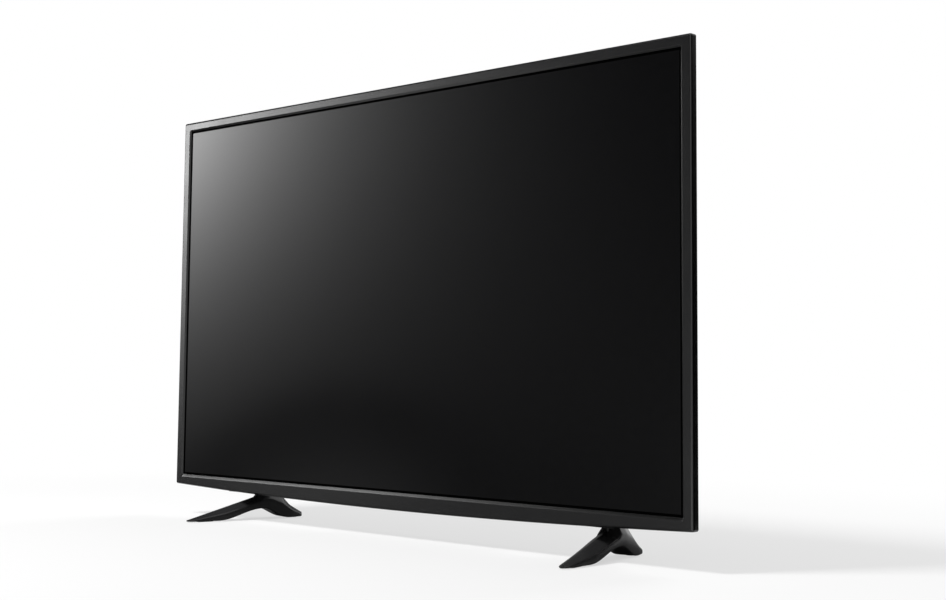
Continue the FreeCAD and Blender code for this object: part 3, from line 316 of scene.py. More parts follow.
@dataclass(frozen=True)
class Finish:
    """What a surface is made of, with sizes in metres."""

    slot: str
    colour: Colour
    roughness: float
    grain: Grain
    size: float
    depth: float
    metallic: float = 0.0
    specular: float = 0.5
    mottle: float = 0.12
    spread: float = 0.1
    clear: float = 0.0
    edge: float = 0.0
    second: Optional[Colour] = None
    grain_to_cloud: float = 0.02
    marks: Place = (23.0, 31.0, 27.0)

    def relief(self, sheet: Sheet) -> Signal:
        """The height of the grain.

        Args:
            sheet: the material's sheet.

        Returns:
            A height about 0.5.
        """
        fine = tuple(1.0 / self.size / share for share in STRETCH.get(self.grain, (1.0, 1.0, 1.0)))
        if self.grain in LAYERS:
            return sheet.noise(fine, *LAYERS[self.grain])
        if self.grain is Grain.TRACES:
            return sheet.cells(fine, "CHEBYCHEV").step(*TRACE_EDGE)
        if self.grain is Grain.SPANGLE:
            return sheet.cells(fine, output="Color")
        if self.grain is Grain.FOAM:
            return sheet.cells(fine)
        pits = sheet.cells(fine).step(*PIT_EDGE)
        bumps = sheet.noise(tuple(value * BUMPS_TO_PIT for value in fine))
        return bumps * (1.0 - PIT_SHARE) + pits * PIT_SHARE

    def tone(self, sheet: Sheet) -> Signal:
        """How far a place leans to the second colour.

        Args:
            sheet: the material's sheet.

        Returns:
            A share between 0 and 1.
        """
        if self.grain in (Grain.TRACES, Grain.SPANGLE, Grain.HAIRLINE):
            return self.relief(sheet)
        slow = self.grain_to_cloud / self.size
        return sheet.noise((slow, slow, slow), 3.0).step(*CLOUD_EDGE)

    def paint(self, sheet: Sheet) -> Signal:
        """The base colour, a little uneven.

        Args:
            sheet: the material's sheet.

        Returns:
            The colour.
        """
        dark = tuple(c * (1.0 - self.mottle) for c in self.colour)
        light = self.second or tuple(min(c * (1.0 + self.mottle), 1.0) for c in self.colour)
        return sheet.mix(self.tone(sheet), dark, light)

    def dullness(self, sheet: Sheet) -> Signal:
        """The roughness, with faint handling marks."""
        return sheet.noise(self.marks, 4.0, 0.6) * self.spread + (self.roughness - self.spread / 2)

    def normal(self, sheet: Sheet) -> Signal:
        """The surface's direction, with its grain and its broken edges.

        Args:
            sheet: the material's sheet.

        Returns:
            The direction.
        """
        inputs = {"Height": self.relief(sheet), "Distance": self.depth, "Strength": 1.0}
        if self.edge:
            inputs["Normal"] = sheet.add("ShaderNodeBevel", {"samples": 4}, {"Radius": self.edge})
        return sheet.add("ShaderNodeBump", None, inputs)

    def material(self) -> bpy.types.Material:
        """The finished material.

        Returns:
            A new material named after the slot.
        """
        made = bpy.data.materials.new(self.slot)
        sheet = Sheet(made)
        inputs = {
            "Base Color": self.paint(sheet),
            "Roughness": self.dullness(sheet),
            "Normal": self.normal(sheet),
            "Metallic": self.metallic,
            "Specular IOR Level": self.specular,
            "Transmission Weight": self.clear,
        }
        self.close(sheet, sheet.add("ShaderNodeBsdfPrincipled", None, inputs))
        return made

    def close(self, sheet: Sheet, shader: Signal) -> None:
        """Joins the shader to the output."""
        sheet.add_output(shader)


@dataclass(frozen=True)
class ScreenFilm(Finish):
    """The panel's satin film, with the black line that runs round the picture."""

    half_width: float = 471.5 * MM
    half_height: float = 266.0 * MM
    middle: float = 327.0 * MM
    line: float = 3.2 * MM
    line_blur: float = 0.4 * MM
    line_black: float = 0.001
    clouds: Place = (9.0, 9.0, 9.0)

    def border(self, sheet: Sheet) -> Signal:
        """The black line, which is where the nearest side of the window is closer than its width.

        Args:
            sheet: the material's sheet.

        Returns:
            1 on the line and 0 on the picture.
        """
        beside = abs(sheet.axis(0)) - (self.half_width - self.line)
        above = abs(sheet.axis(2) - self.middle) - (self.half_height - self.line)
        return beside.math("MAXIMUM", beside, above).step(0.0, self.line_blur)

    def dullness(self, sheet: Sheet) -> Signal:
        """Satin, and a little uneven in slow clouds."""
        return sheet.noise(self.clouds, 2.0) * self.spread + (self.roughness - self.spread / 2)

    def close(self, sheet: Sheet, shader: Signal) -> None:
        """Lays a matt black over the shader on the line, and joins both to the output."""
        black = sheet.add("ShaderNodeBsdfDiffuse", None, {"Color": opaque((self.line_black,) * 3)})
        sheet.add_output(sheet.blend(self.border(sheet), shader, black))


@dataclass(frozen=True)
class FrameFinish(Finish):
    """The frame's plastic, with painted shade that makes it blacker on its turned edges and walls than on
    its flat face.
    """

    face: float = -21.5 * MM
    # where the painted shade starts and is whole behind the front face, and the share of the colour that it
    # leaves
    start: float = 0.15 * MM
    end: float = 0.9 * MM
    edge_shade_share: float = 0.15

    def paint(self, sheet: Sheet) -> Signal:
        """The base colour, which falls to a share of itself as the surface turns back: painted shade on the
        edges and walls.

        Args:
            sheet: the material's sheet.

        Returns:
            The colour.
        """
        # painted shade: a blacker colour behind the front face, on the rounded edges and the side walls
        behind = sheet.axis(1) - self.face
        black = tuple(c * self.edge_shade_share for c in self.colour)
        return sheet.mix(behind.step(self.start, self.end), super().paint(sheet), black)


FINISHES = (
    # the frame's finish paints shade on its turned edges and walls
    FrameFinish("bezel_plastic", (0.0115, 0.0115, 0.0118), 0.25, Grain.HAIRLINE, 0.00035, 0.0000008),
    Finish("smoked_window", (0.012, 0.006, 0.006), 0.12, Grain.PEEL, 0.004, 0.00001),
    Finish("foam", (0.02, 0.02, 0.02), 0.9, Grain.FOAM, 0.0006, 0.0001),
    ScreenFilm("screen_film", (0.003, 0.003, 0.0033), 0.17, Grain.SPARK, 0.0002, 0.0000004,
               specular=0.2, spread=0.03),
    Finish("panel_glass", (0.02, 0.02, 0.022), 0.08, Grain.PEEL, 0.02, 0.000002),
    Finish("white_plastic", (0.78, 0.78, 0.76), 0.5, Grain.SPARK, 0.0008, 0.00002, mottle=0.04),
    Finish("optical_film", (0.8, 0.82, 0.84), 0.3, Grain.HAIRLINE, 0.0001, 0.00001, mottle=0.03),
    Finish("clear_plastic", (0.75, 0.78, 0.8), 0.1, Grain.PEEL, 0.003, 0.00001, clear=0.6),
    Finish("lamp_board", (0.82, 0.82, 0.8), 0.35, Grain.PEEL, 0.002, 0.00001, mottle=0.05),
    Finish("tray_steel", (0.56, 0.57, 0.58), 0.38, Grain.SPANGLE, 0.009, 0.000004, 1.0,
           second=(0.68, 0.69, 0.7)),
    Finish("turned_steel", (0.5, 0.5, 0.5), 0.3, Grain.TURNED, 0.0003, 0.00001, 1.0),
    Finish("black_steel", (0.03, 0.03, 0.03), 0.34, Grain.TURNED, 0.0003, 0.00001, 0.6, edge=0.0002),
    Finish("circuit_board", (0.012, 0.09, 0.035), 0.32, Grain.TRACES, 0.0045, 0.00003,
           second=(0.03, 0.2, 0.08)),
    Finish("amber_film", (0.42, 0.18, 0.03), 0.25, Grain.HAIRLINE, 0.0004, 0.00001,
           second=(0.55, 0.27, 0.07)),
    Finish("flat_cable", (0.7, 0.71, 0.73), 0.4, Grain.HAIRLINE, 0.0008, 0.00006),
    Finish("sink_metal", (0.06, 0.06, 0.064), 0.4, Grain.HAIRLINE, 0.0003, 0.00001, 0.7),
    Finish("tin_plate", (0.62, 0.62, 0.6), 0.24, Grain.PEEL, 0.003, 0.00001, 1.0, edge=0.0002),
    Finish("ferrite", (0.05, 0.04, 0.035), 0.5, Grain.FIBRE, 0.001, 0.00005,
           second=(0.36, 0.26, 0.03)),
    Finish("can_sleeve", (0.015, 0.015, 0.03), 0.2, Grain.PEEL, 0.004, 0.00003,
           second=(0.03, 0.03, 0.06)),
    Finish("socket_plastic", (0.014, 0.014, 0.014), 0.42, Grain.SPARK, 0.0005, 0.00001, edge=0.0002),
    Finish("speaker_plastic", (0.02, 0.02, 0.02), 0.5, Grain.SPARK, 0.0006, 0.00002),
    Finish("cone_paper", (0.03, 0.03, 0.03), 0.8, Grain.FIBRE, 0.0006, 0.00006,
           second=(0.05, 0.05, 0.048)),
    Finish("soft_rubber", (0.02, 0.02, 0.02), 0.75, Grain.SPARK, 0.0007, 0.00004),
    Finish("key_plastic", (0.026, 0.026, 0.027), 0.3, Grain.PEEL, 0.002, 0.00001),
    Finish("leg_plastic", (0.024, 0.024, 0.0245), 0.26, Grain.PEEL, 0.006, 0.00004, spread=0.06),
    Finish("cover_plastic", (0.022, 0.022, 0.023), 0.48, Grain.SPARK, 0.0011, 0.00005, edge=0.0009),
)


class Wardrobe:
    """Makes each finish once and hands it out."""

    def __init__(self, finishes: Sequence[Finish]) -> None:
        """Keeps the finishes by slot.

        Args:
            finishes: every finish of the object.
        """
        self.finishes = {finish.slot: finish for finish in finishes}
        self.made: dict[str, bpy.types.Material] = {}

    def worn(self, slot: str) -> bpy.types.Material:
        """The material of a slot, made when it is first asked for.

        Args:
            slot: the slot's name.

        Returns:
            The material.
        """
        if slot not in self.made:
            self.made[slot] = self.finishes[slot].material()
        return self.made[slot]

    def dress(self, made: bpy.types.Object, slot: str, *nodes: str) -> bpy.types.Object:
        """Dresses a new piece, hangs it on the body that it rides on and hides the nodes that it replaces.

        Args:
            made: the piece.
            slot: the material slot.
            nodes: the nodes that it replaces.

        Returns:
            The same piece.
        """
        made.data.materials.clear()
        made.data.materials.append(self.worn(slot))
        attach(made, CABINET)
        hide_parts(*nodes)
        return made

    def dress_nodes(self) -> int:
        """Gives every node that comes from the model the finish of its slot.

        Returns:
            How many nodes there are.
        """
        parts = frame["record"]["subparts"]
        for part in parts:
            node = frame["nodes"][part["node"]]
            if not node.material_slots:
                node.data.materials.append(None)
            for place in node.material_slots:
                place.material = self.worn(part["material_slot"])
        return len(parts)


WARDROBE = Wardrobe(FINISHES)


def grid_faces(rows: int, columns: int, round_rows: bool, round_columns: bool) -> np.ndarray:
    """The four-sided faces between neighbours of a grid.

    Point (r, c) has the number r times the columns plus c, and the faces join it to the
    next row and the next column, which come round to the first where the grid is closed.

    Args:
        rows: how many rows the grid has.
        columns: how many points a row has.
        round_rows: whether the last row meets the first.
        round_columns: whether a row's last point meets its first.

    Returns:
        One row of four numbers for each face.
    """
    r = np.arange(rows if round_rows else rows - 1)[:, None]
    c = np.arange(columns if round_columns else columns - 1)[None, :]
    below = (r + 1) % rows
    beside = (c + 1) % columns
    corners = (r * columns + c, r * columns + beside, below * columns + beside, below * columns + c)
    return np.stack(np.broadcast_arrays(*corners), -1).reshape(-1, 4)


class Skin:
    """Grids of points that become one closed mesh."""

    merge = 0.001 * MM

    def __init__(self, name: str) -> None:
        """Starts empty.

        Args:
            name: the piece's name.
        """
        self.name = name
        self.points: list[np.ndarray] = []
        self.faces: list[np.ndarray] = []
        self.count = 0

    def grid(self, points: np.ndarray, round_rows: bool = False, round_columns: bool = True) -> "Skin":
        """Adds one grid.

        Args:
            points: rows by columns by three, in millimetres.
            round_rows: whether the last row meets the first.
            round_columns: whether a row's last point meets its first.

        Returns:
            This skin.
        """
        rows, columns = points.shape[:2]
        self.faces.append(grid_faces(rows, columns, round_rows, round_columns) + self.count)
        self.points.append(points.reshape(-1, 3) * MM)
        self.count += rows * columns
        return self

    def build(
        self, sharp: float = 32.0, cut: Optional["Skin"] = None, add: Optional["Skin"] = None
    ) -> bpy.types.Object:
        """Makes the mesh, merges what coincides and turns its faces outwards.

        Args:
            sharp: the angle in degrees past which an edge stays sharp.
            cut: a closed skin whose space is taken out.
            add: a closed skin whose space is added first.

        Returns:
            The new object, at the origin.
        """
        mesh = bpy.data.meshes.new(self.name)
        mesh.from_pydata(np.concatenate(self.points).tolist(), [], np.concatenate(self.faces).tolist())
        work = bmesh.new()
        work.from_mesh(mesh)
        bmesh.ops.remove_doubles(work, verts=work.verts, dist=self.merge)
        bmesh.ops.dissolve_degenerate(work, edges=work.edges, dist=self.merge)
        bmesh.ops.recalc_face_normals(work, faces=work.faces)
        work.to_mesh(mesh)
        work.free()
        made = bpy.data.objects.new(self.name, mesh)
        bpy.context.scene.collection.objects.link(made)
        if add:
            self.carve(made, add.build(), "UNION")
        if cut:
            self.carve(made, cut.build(), "DIFFERENCE")
        made.data.shade_smooth()
        made.data.set_sharp_from_angle(angle=math.radians(sharp))
        return made

    @staticmethod
    def carve(made: bpy.types.Object, tool: bpy.types.Object, way: str) -> None:
        """Adds or takes out the tool's space, and takes the tool away.

        Args:
            made: the piece.
            tool: the closed object that is added or taken out.
            way: "UNION" or "DIFFERENCE".
        """
        step = made.modifiers.new("carve", "BOOLEAN")
        step.operation = way
        step.solver = "EXACT"
        step.object = tool
        graph = bpy.context.evaluated_depsgraph_get()
        carved = bpy.data.meshes.new_from_object(made.evaluated_get(graph))
        made.modifiers.clear()
        made.data = carved
        bpy.data.objects.remove(tool)


def revolve(
    profile: Sequence[tuple[float, float]], foot: Sequence[float], count: int
) -> np.ndarray:
    """A profile turned about an upright axis.

    Point (i, j) is the foot, plus the profile's length i upwards, plus its radius i times
    the cosine and sine of j equal steps round.

    Args:
        profile: pairs of radius and length along the axis.
        foot: the point that the lengths start from.
        count: how many steps go round.

    Returns:
        Profile points by steps by three, in millimetres.
    """
    radius, length = np.asarray(profile, float).T
    turn = np.linspace(0.0, 2.0 * np.pi, count, endpoint=False)
    flat = np.stack([np.outer(radius, np.cos(turn)), np.outer(radius, np.sin(turn))], -1)
    along = np.broadcast_to(length[:, None, None], flat.shape[:2] + (1,))
    return np.concatenate([flat, along], -1) + np.asarray(foot, float)


def block(low: Sequence[float], high: Sequence[float]) -> np.ndarray:
    """A closed block between two corners, as a grid of four rings.

    Args:
        low: its lowest corner.
        high: its highest corner.

    Returns:
        Four rings of four points; the first and last close its ends.
    """
    (x0, y0, z0), (x1, y1, z1) = low, high
    ring = np.array([(x0, y0), (x1, y0), (x1, y1), (x0, y1)], float)
    middle = np.broadcast_to(ring.mean(0), ring.shape)
    rings = [(middle, z0), (ring, z0), (ring, z1), (middle, z1)]
    return np.stack([np.column_stack([r, np.full(4, z)]) for r, z in rings])


@dataclass
class FrontFrame:
    """The bevelled frame round the screen, in millimetres."""

    window_half: float = 471.5
    window_low: float = 61.0
    window_top: float = 593.0
    window_corner: float = 0.4
    half: float = 487.5
    top: float = 607.0
    low: float = 46.0
    bow: float = 8.75
    corner: float = 3.0
    least_corner: float = 1.0
    front: float = -21.5
    depth: float = 8.5
    wall: float = 2.5
    face: float = 2.5
    side_bevel: float = 2.4
    low_bevel: float = 3.8
    bevel: tuple[tuple[float, float], ...] = (
        (0.0, 2.05), (0.02, 1.95), (0.06, 1.84), (0.1, 1.76), (0.5, 0.97), (0.9, 0.18),
        (0.94, 0.11), (0.98, 0.03), (1.03, 0.0), (1.12, 0.0),
    )
    edge_wide: float = 3.2
    edge_deep: float = 2.8
    edge_support: float = 0.4
    edge_steps: int = 7
    arc_steps: int = 6
    low_steps: int = 96
    side_rows: tuple[float, float] = (12.0, 60.0)
    sensor_half: float = 10.3
    sensor_near: float = 3.4
    sensor_far: float = 6.0
    sensor_rise: float = 3.5
    sensor_clear: float = 1.0

    def sag(self, x: Run, low: float, bow: float) -> Run:
        """The lower side: the height low, less the bow times one minus (x over the half) squared."""
        return low - bow * (1.0 - (x / self.half) ** 2)

    def quarter(self, x: float, z: float, radius: float, start: float) -> np.ndarray:
        """A quarter circle round x and z, from a start angle."""
        turn = np.linspace(0.0, np.pi / 2, self.arc_steps) + start
        return np.column_stack([x + radius * np.cos(turn), z + radius * np.sin(turn)])

    def ring(
        self, half: float, top: float, low: float, bow: float, radius: float, back: float
    ) -> np.ndarray:
        """One closed line round the frame: straight sides and top, a bowed lower side, round corners.

        Args:
            half: half its width.
            top: its upper height.
            low: its lower height at the ends.
            bow: how much lower its middle hangs.
            radius: its corners' radius.
            back: its distance behind the front face.

        Returns:
            Points by three.
        """
        near = half - radius
        x = np.linspace(-near, near, self.low_steps)[1:-1]
        foot = self.sag(near, low, bow) + radius
        rise = foot + np.array(self.side_rows)
        flat = np.concatenate([
            self.quarter(-near, foot, radius, np.pi),
            np.column_stack([x, self.sag(x, low, bow)]),
            self.quarter(near, foot, radius, 1.5 * np.pi),
            np.column_stack([np.full(2, half), rise]),
            self.quarter(near, top - radius, radius, 0.0),
            self.quarter(-near, top - radius, radius, 0.5 * np.pi),
            np.column_stack([np.full(2, -half), rise[::-1]]),
        ])
        return np.column_stack([flat[:, 0], np.full(len(flat), self.front + back), flat[:, 1]])

    def inner(self, share: float, back: float) -> np.ndarray:
        """A line along the bevel: share 0 is the window's edge and 1 the bevel's outer edge."""
        side, low = share * self.side_bevel, share * self.low_bevel
        return self.ring(self.window_half + side, self.window_top + side, self.window_low - low, 0.0,
                         self.window_corner + side, back)

    def outer(self, inset: float, back: float) -> np.ndarray:
        """A line at an inset from the outline."""
        return self.ring(self.half - inset, self.top - inset, self.low + inset, self.bow,
                         max(self.corner - inset, self.least_corner), back)

    def build(self) -> bpy.types.Object:
        """Carries the section round the frame and cuts the sensor's slot.

        The section goes up the bevel, over the face, round the edge by the sine and the
        cosine of a quarter turn, and back along the wall's two sides.

        Returns:
            The finished piece.
        """
        section = [self.inner(0.0, self.face)]
        section += [self.inner(share, back) for share, back in self.bevel]
        section.append(self.outer(self.edge_wide + self.edge_support, 0.0))
        section += [
            self.outer(self.edge_wide * (1.0 - math.sin(a)), self.edge_deep * (1.0 - math.cos(a)))
            for a in np.linspace(0.0, np.pi / 2, self.edge_steps)
        ]
        wall = ((0.0, self.depth), (self.wall, self.depth), (self.wall, self.face))
        section += [self.outer(inset, back) for inset, back in wall]
        low = self.low - self.bow
        slot = Skin("sensor_slot").grid(block(
            (-self.sensor_half, self.front + self.sensor_near, low - self.sensor_clear),
            (self.sensor_half, self.front + self.sensor_far, low + self.sensor_rise),
        ))
        made = Skin("front_frame").grid(np.stack(section), round_rows=True).build(cut=slot)
        return WARDROBE.dress(made, "bezel_plastic", "front_bezel")


@dataclass
class Leg:
    """One splayed leg with a ridge, two feet and an arch between them, in millimetres."""

    side: int
    name: str
    leg_x: float = 339.5
    splay: float = 10.7
    half_length: float = 93.571
    seat: float = 40.59
    lift: float = 1.0
    arch: tuple[float, float, float, float] = (-50.0, 21.5, 66.0, 15.2)
    tip_half: float = 3.0
    tip_taper: float = 8.0
    side_share: float = 0.6
    crest_share: float = 0.8
    radii: tuple[float, ...] = (1.8, 1.8, 2.2, 1.1, 1.1, 2.2)
    radius_share: float = 0.45
    blend: float = 2.2
    stations: int = 181
    crowding: float = 0.35
    screws: tuple[float, float] = (17.5, 27.5)
    head_radius: float = 3.9
    head_top: float = 24.9
    shank_radius: float = 2.3
    shank_top: float = 60.0
    tenon: tuple[float, float, float, float] = (8.0, 18.5, 32.0, 14.0)
    tenon_root: float = 9.0

    def heights(self) -> list[tuple[float, float]]:
        """The ridge's height at its knots."""
        return [(-self.half_length, 3.0), (13.0, 32.0), (18.0, 34.5), (21.0, self.seat),
                (36.0, self.seat), (55.0, 35.5), (72.0, 19.0), (self.half_length, 6.8)]

    def widths(self) -> list[tuple[float, float]]:
        """Half the leg's width at its knots."""
        return [(-self.half_length, 6.5), (-37.0, 14.0), (16.0, 16.0), (36.0, 16.0), (72.0, 14.0),
                (self.half_length, 8.6)]

    def crests(self) -> list[tuple[float, float]]:
        """Half the width of the flat top at its knots."""
        return [(-self.half_length, 1.7), (13.0, 2.8), (18.0, 4.0), (21.0, 9.5), (36.0, 9.5),
                (72.0, 2.8), (self.half_length, 1.7)]

    def along(self, knots: list[tuple[float, float]], s: np.ndarray) -> np.ndarray:
        """Straight lines between knots, smoothed by a bell of the blend's width.

        Args:
            knots: pairs of place and value.
            s: the places that are asked for.

        Returns:
            The values.
        """
        place, value = np.asarray(knots, float).T
        shift = np.linspace(-2.0, 2.0, 9) * self.blend
        bell = np.exp(-0.5 * (shift / self.blend) ** 2)
        return np.interp(s[:, None] + shift[None, :], place, value) @ (bell / bell.sum())

    def underside(self, s: np.ndarray) -> np.ndarray:
        """The sole's height: flat at both feet, with half a cosine wave up and down between.

        Args:
            s: the places along the leg.

        Returns:
            The heights.
        """
        front, peak, rear, height = self.arch
        rising = np.clip((s - front) / (peak - front), 0.0, 1.0)
        falling = np.clip((rear - s) / (rear - peak), 0.0, 1.0)
        return self.lift + height * (0.5 - 0.5 * np.cos(np.pi * np.minimum(rising, falling)))

    def rings(self) -> np.ndarray:
        """Sections of six corners, each corner rounded by a short curve.

        The stations crowd towards the tips as the sine of a quarter turn does. A corner's
        curve is the square-weighted mean of the point before it, the corner and the point
        after it, where those points lie the corner's radius away on its two sides.

        Returns:
            Sections by points by three, with both ends closed.
        """
        share = np.linspace(-1.0, 1.0, self.stations)
        crowded = np.sin(share * np.pi / 2)
        s = self.half_length * crowded * self.crowding + self.half_length * share * (1.0 - self.crowding)
        inside = np.clip((self.half_length - np.abs(s)) / self.tip_taper, 0.0, 1.0)
        half = self.along(self.widths(), s) * np.sqrt(1.0 - (1.0 - inside) ** 2)
        half = np.maximum(half, self.tip_half)
        crest = np.minimum(self.along(self.crests(), s), half * self.crest_share)
        low = self.underside(s)
        top = np.minimum(self.along(self.heights(), s), self.seat)
        mid = low + self.side_share * (top - low)
        corners = np.stack([
            np.stack([-half, half, half, crest, -crest, -half], -1),
            np.stack([low, low, mid, top, top, mid], -1),
        ], -1)
        reach = []
        for way in (1, -1):
            step = np.roll(corners, way, axis=1) - corners
            length = np.linalg.norm(step, axis=-1, keepdims=True)
            radius = np.minimum(np.array(self.radii)[:, None], self.radius_share * length)
            reach.append(radius * step / length)
        curve = [corners + reach[0] * (1 - t) ** 2 + reach[1] * t ** 2 for t in (0.0, 0.25, 0.5, 0.75, 1.0)]
        flat = np.stack(curve, 2).reshape(self.stations, -1, 2)
        along = np.broadcast_to(s[:, None], flat.shape[:2])
        rings = np.stack([flat[..., 0], along, flat[..., 1]], -1)
        ends = [np.broadcast_to(ring.mean(0), ring.shape) for ring in (rings[0], rings[-1])]
        return np.concatenate([ends[0][None], rings, ends[1][None]])

    def placed(self, points: np.ndarray) -> np.ndarray:
        """Turns points by the splay and moves them under their side of the set.

        Args:
            points: points in the leg's own frame.

        Returns:
            The points in the set's frame.
        """
        a = math.radians(self.splay)
        x, y, z = points[..., 0], points[..., 1], points[..., 2]
        moved = (self.leg_x + x * math.cos(a) - y * math.sin(a)) * self.side
        return np.stack([moved, x * math.sin(a) + y * math.cos(a), z], -1)

    def build(self) -> bpy.types.Object:
        """Makes the leg with its tenon and bores its two screw holes.

        Returns:
            The finished piece.
        """
        bore = [(0.0, 0.0), (self.head_radius, 0.0), (self.head_radius, self.head_top),
                (self.shank_radius, self.head_top), (self.shank_radius, self.shank_top),
                (0.0, self.shank_top)]
        holes = Skin("leg_holes")
        for s in self.screws:
            holes.grid(self.placed(revolve(bore, (0.0, s, 0.0), 32)))
        half, front, rear, rise = self.tenon
        corners = (-half, front, self.seat - self.tenon_root), (half, rear, self.seat + rise)
        tenon = Skin("tenon").grid(self.placed(block(*corners)))
        made = Skin(self.name + "_body").grid(self.placed(self.rings())).build(50.0, holes, tenon)
        return WARDROBE.dress(made, "leg_plastic", self.name)


@dataclass
class CoverScrews:
    """Pan heads with a crossed slot, round the thin part of the back, in millimetres."""

    half: float = 487.5
    top: float = 607.0
    inset: float = 48.0
    heights: tuple[float, ...] = (480.0, 305.0, 130.0)
    seat: float = 8.5
    foot: float = 3.5
    shank: float = 1.5
    head: float = 3.2
    rise: float = 1.2
    dome: float = 0.35
    slot: float = 0.42
    slot_reach: float = 1.9
    slot_depth: float = 0.8
    slot_slope: float = 0.15
    end_slope: float = 0.3
    steps: int = 96
    circles: int = 33

    def places(self) -> list[tuple[float, float]]:
        """Where the screws stand.

        Returns:
            Pairs of x and z.
        """
        side = self.half - self.inset
        top = self.top - self.inset
        right = [(side / 3, top), (side, top)] + [(side, z) for z in self.heights]
        return [(-x, z) for x, z in right] + right

    def head_grid(self, x: float, z: float) -> np.ndarray:
        """A head as a polar grid, turned by an angle of its own.

        Its height is the rise, less a part that grows with the square of the radius, less
        the slot's depth where the nearer of two crossed lines is closer than the slot's
        half width and the radius is inside its reach.

        Args:
            x: the screw's place across.
            z: its height, which is also its angle.

        Returns:
            Circles by steps by three.
        """
        turn = np.linspace(0.0, 2.0 * np.pi, self.steps, endpoint=False) + z
        radius = np.linspace(0.0, self.head, self.circles)[:, None]
        a, b = radius * np.cos(turn - z), radius * np.sin(turn - z)
        line = np.minimum(np.abs(a), np.abs(b))
        wall = np.clip((self.slot - line) / self.slot_slope + 0.5, 0.0, 1.0)
        wall = wall * np.clip((self.slot_reach - radius) / self.end_slope, 0.0, 1.0)
        dome = self.rise - self.dome * (radius / self.head) ** 2 * np.ones_like(a)
        height = dome - self.slot_depth * wall
        top = np.stack([x + radius * np.cos(turn), self.seat + height, z + radius * np.sin(turn)], -1)
        skirt = ((self.head, self.seat), (self.shank, self.seat), (self.shank, self.foot), (0.0, self.foot))
        below = [
            np.stack([x + r * np.cos(turn), np.full(self.steps, y), z + r * np.sin(turn)], -1)
            for r, y in skirt
        ]
        return np.concatenate([top, np.stack(below)])

    def build(self) -> bpy.types.Object:
        """Makes all the screws as one piece.

        Returns:
            The finished piece.
        """
        skin = Skin("cover_screw_set")
        for x, z in self.places():
            skin.grid(self.head_grid(x, z))
        return WARDROBE.dress(skin.build(sharp=25.0), "black_steel", "cover_screws")


def flat_card(
    name: str, middle: np.ndarray, across: np.ndarray, up: np.ndarray, wide: np.ndarray, high: np.ndarray
) -> bpy.types.Object:
    """A flat card of the stage: its middle plus lengths along two directions.

    Args:
        name: its name.
        middle: the point that the lengths start from, in metres.
        across: the direction across it.
        up: the direction up it.
        wide: its two ends across.
        high: its two ends up.

    Returns:
        The card, which only reflections show.
    """
    points = middle + wide[None, :, None] * across + high[:, None, None] * up
    made = Skin(name).grid(points / MM, round_columns=False).build()
    made.data.materials.append(bpy.data.materials.new(name))
    for sight in ("visible_camera", "visible_diffuse", "visible_transmission", "visible_shadow"):
        setattr(made, sight, False)
    return made


@dataclass(frozen=True)
class Glow:
    """The large soft card that the screen mirrors: bright at one end and dark at the other.

    Lengths are in metres: u across it and w up it, from its centre. The fades are pairs of
    the place where the light starts to fall and the place where the fall is whole.
    """

    centre: Place = (-1.602, -1.522, 0.443)
    across: Place = (-0.6845, 0.7291, 0.0)
    up: Place = (0.0383, 0.0359, 0.9986)
    reach: tuple[float, float, float, float] = (-3.2, 1.9, -1.6, 1.9)
    shape: tuple[float, ...] = (-0.576, 2.325, 1.733, 1.06, -0.93, 3.7)
    far_end: float = -1.5
    cap: float = 17.0
    side_fade: tuple[float, float] = (0.66, 0.88)
    top_fade: tuple[float, float] = (0.72, 1.15)
    corner_fade: tuple[float, float, float, float] = (0.6, 0.74, 0.42, 0.6)
    rim_slope: float = 0.19
    rim_fade: tuple[float, float] = (0.62, 0.76)
    rim_side: tuple[float, float] = (0.4, 0.6)
    rim_share: tuple[float, float] = (0.5, 0.3)

    def light(self, sheet: Sheet) -> Signal:
        """How bright a place of the card is, where 1 is white.

        It is e to a polynomial of u and w, which is a constant, each length, each one's
        square, and their product; no more than the cap; and less past the fades.

        Args:
            sheet: the card's sheet.

        Returns:
            The brightness.
        """
        middle = np.array(self.centre)
        place = sheet.along(self.across, float(middle @ np.array(self.across)))
        w = sheet.along(self.up, float(middle @ np.array(self.up)))
        u = place.math("MAXIMUM", place, self.far_end)
        c = self.shape
        power = u * c[1] + w * c[2] + u * u * c[3] + w * w * c[4] + u * w * c[5] + c[0]
        light = power.math("POWER", math.e, power)
        light = light.math("MINIMUM", light, self.cap)
        light = light * (1.0 - u.step(*self.side_fade)) * (1.0 - w.step(*self.top_fade))
        light = light * (1.0 - u.step(*self.corner_fade[:2]) * w.step(*self.corner_fade[2:]))
        rim = u.step(*self.rim_side) * self.rim_share[0] + self.rim_share[1]
        return light * (1.0 - (u * self.rim_slope + w).step(*self.rim_fade) * rim)

    def build(self) -> None:
        """Hangs the card and lights it."""
        middle, across, up = (np.array(v) for v in (self.centre, self.across, self.up))
        wide, high = np.array(self.reach).reshape(2, 2)
        made = flat_card("glow_card", middle, across, up, wide, high)
        sheet = Sheet(made.active_material)
        inputs = {"Color": self.light(sheet), "Strength": 1.0}
        sheet.add_output(sheet.add("ShaderNodeEmission", None, inputs))


@dataclass(frozen=True)
class Card:
    """A round flat card that shows only in reflections, with a soft edge, in metres."""

    name: str
    place: Place
    aim: Place
    reach: float
    light: float
    fading: bool = False
    solid: float = 0.8

    def build(self) -> None:
        """Hangs the card square to its aim and lights it, evenly or fading from its middle."""
        ahead = (Vector(self.aim) - Vector(self.place)).normalized()
        level = ahead.cross(UPWARDS).normalized()
        side = np.array((-self.reach, self.reach))
        middle = np.array(self.place)
        made = flat_card(self.name, middle, np.array(level), np.array(level.cross(ahead)), side, side)
        sheet = Sheet(made.active_material)
        off = sheet.away(self.place)
        fade = (1.0 - off.step(0.0, self.reach)) * self.light if self.fading else self.light
        shine = sheet.add("ShaderNodeEmission", None, {"Strength": fade})
        clear = sheet.add("ShaderNodeBsdfTransparent")
        sheet.add_output(sheet.blend(off.step(self.reach * self.solid, self.reach), shine, clear))


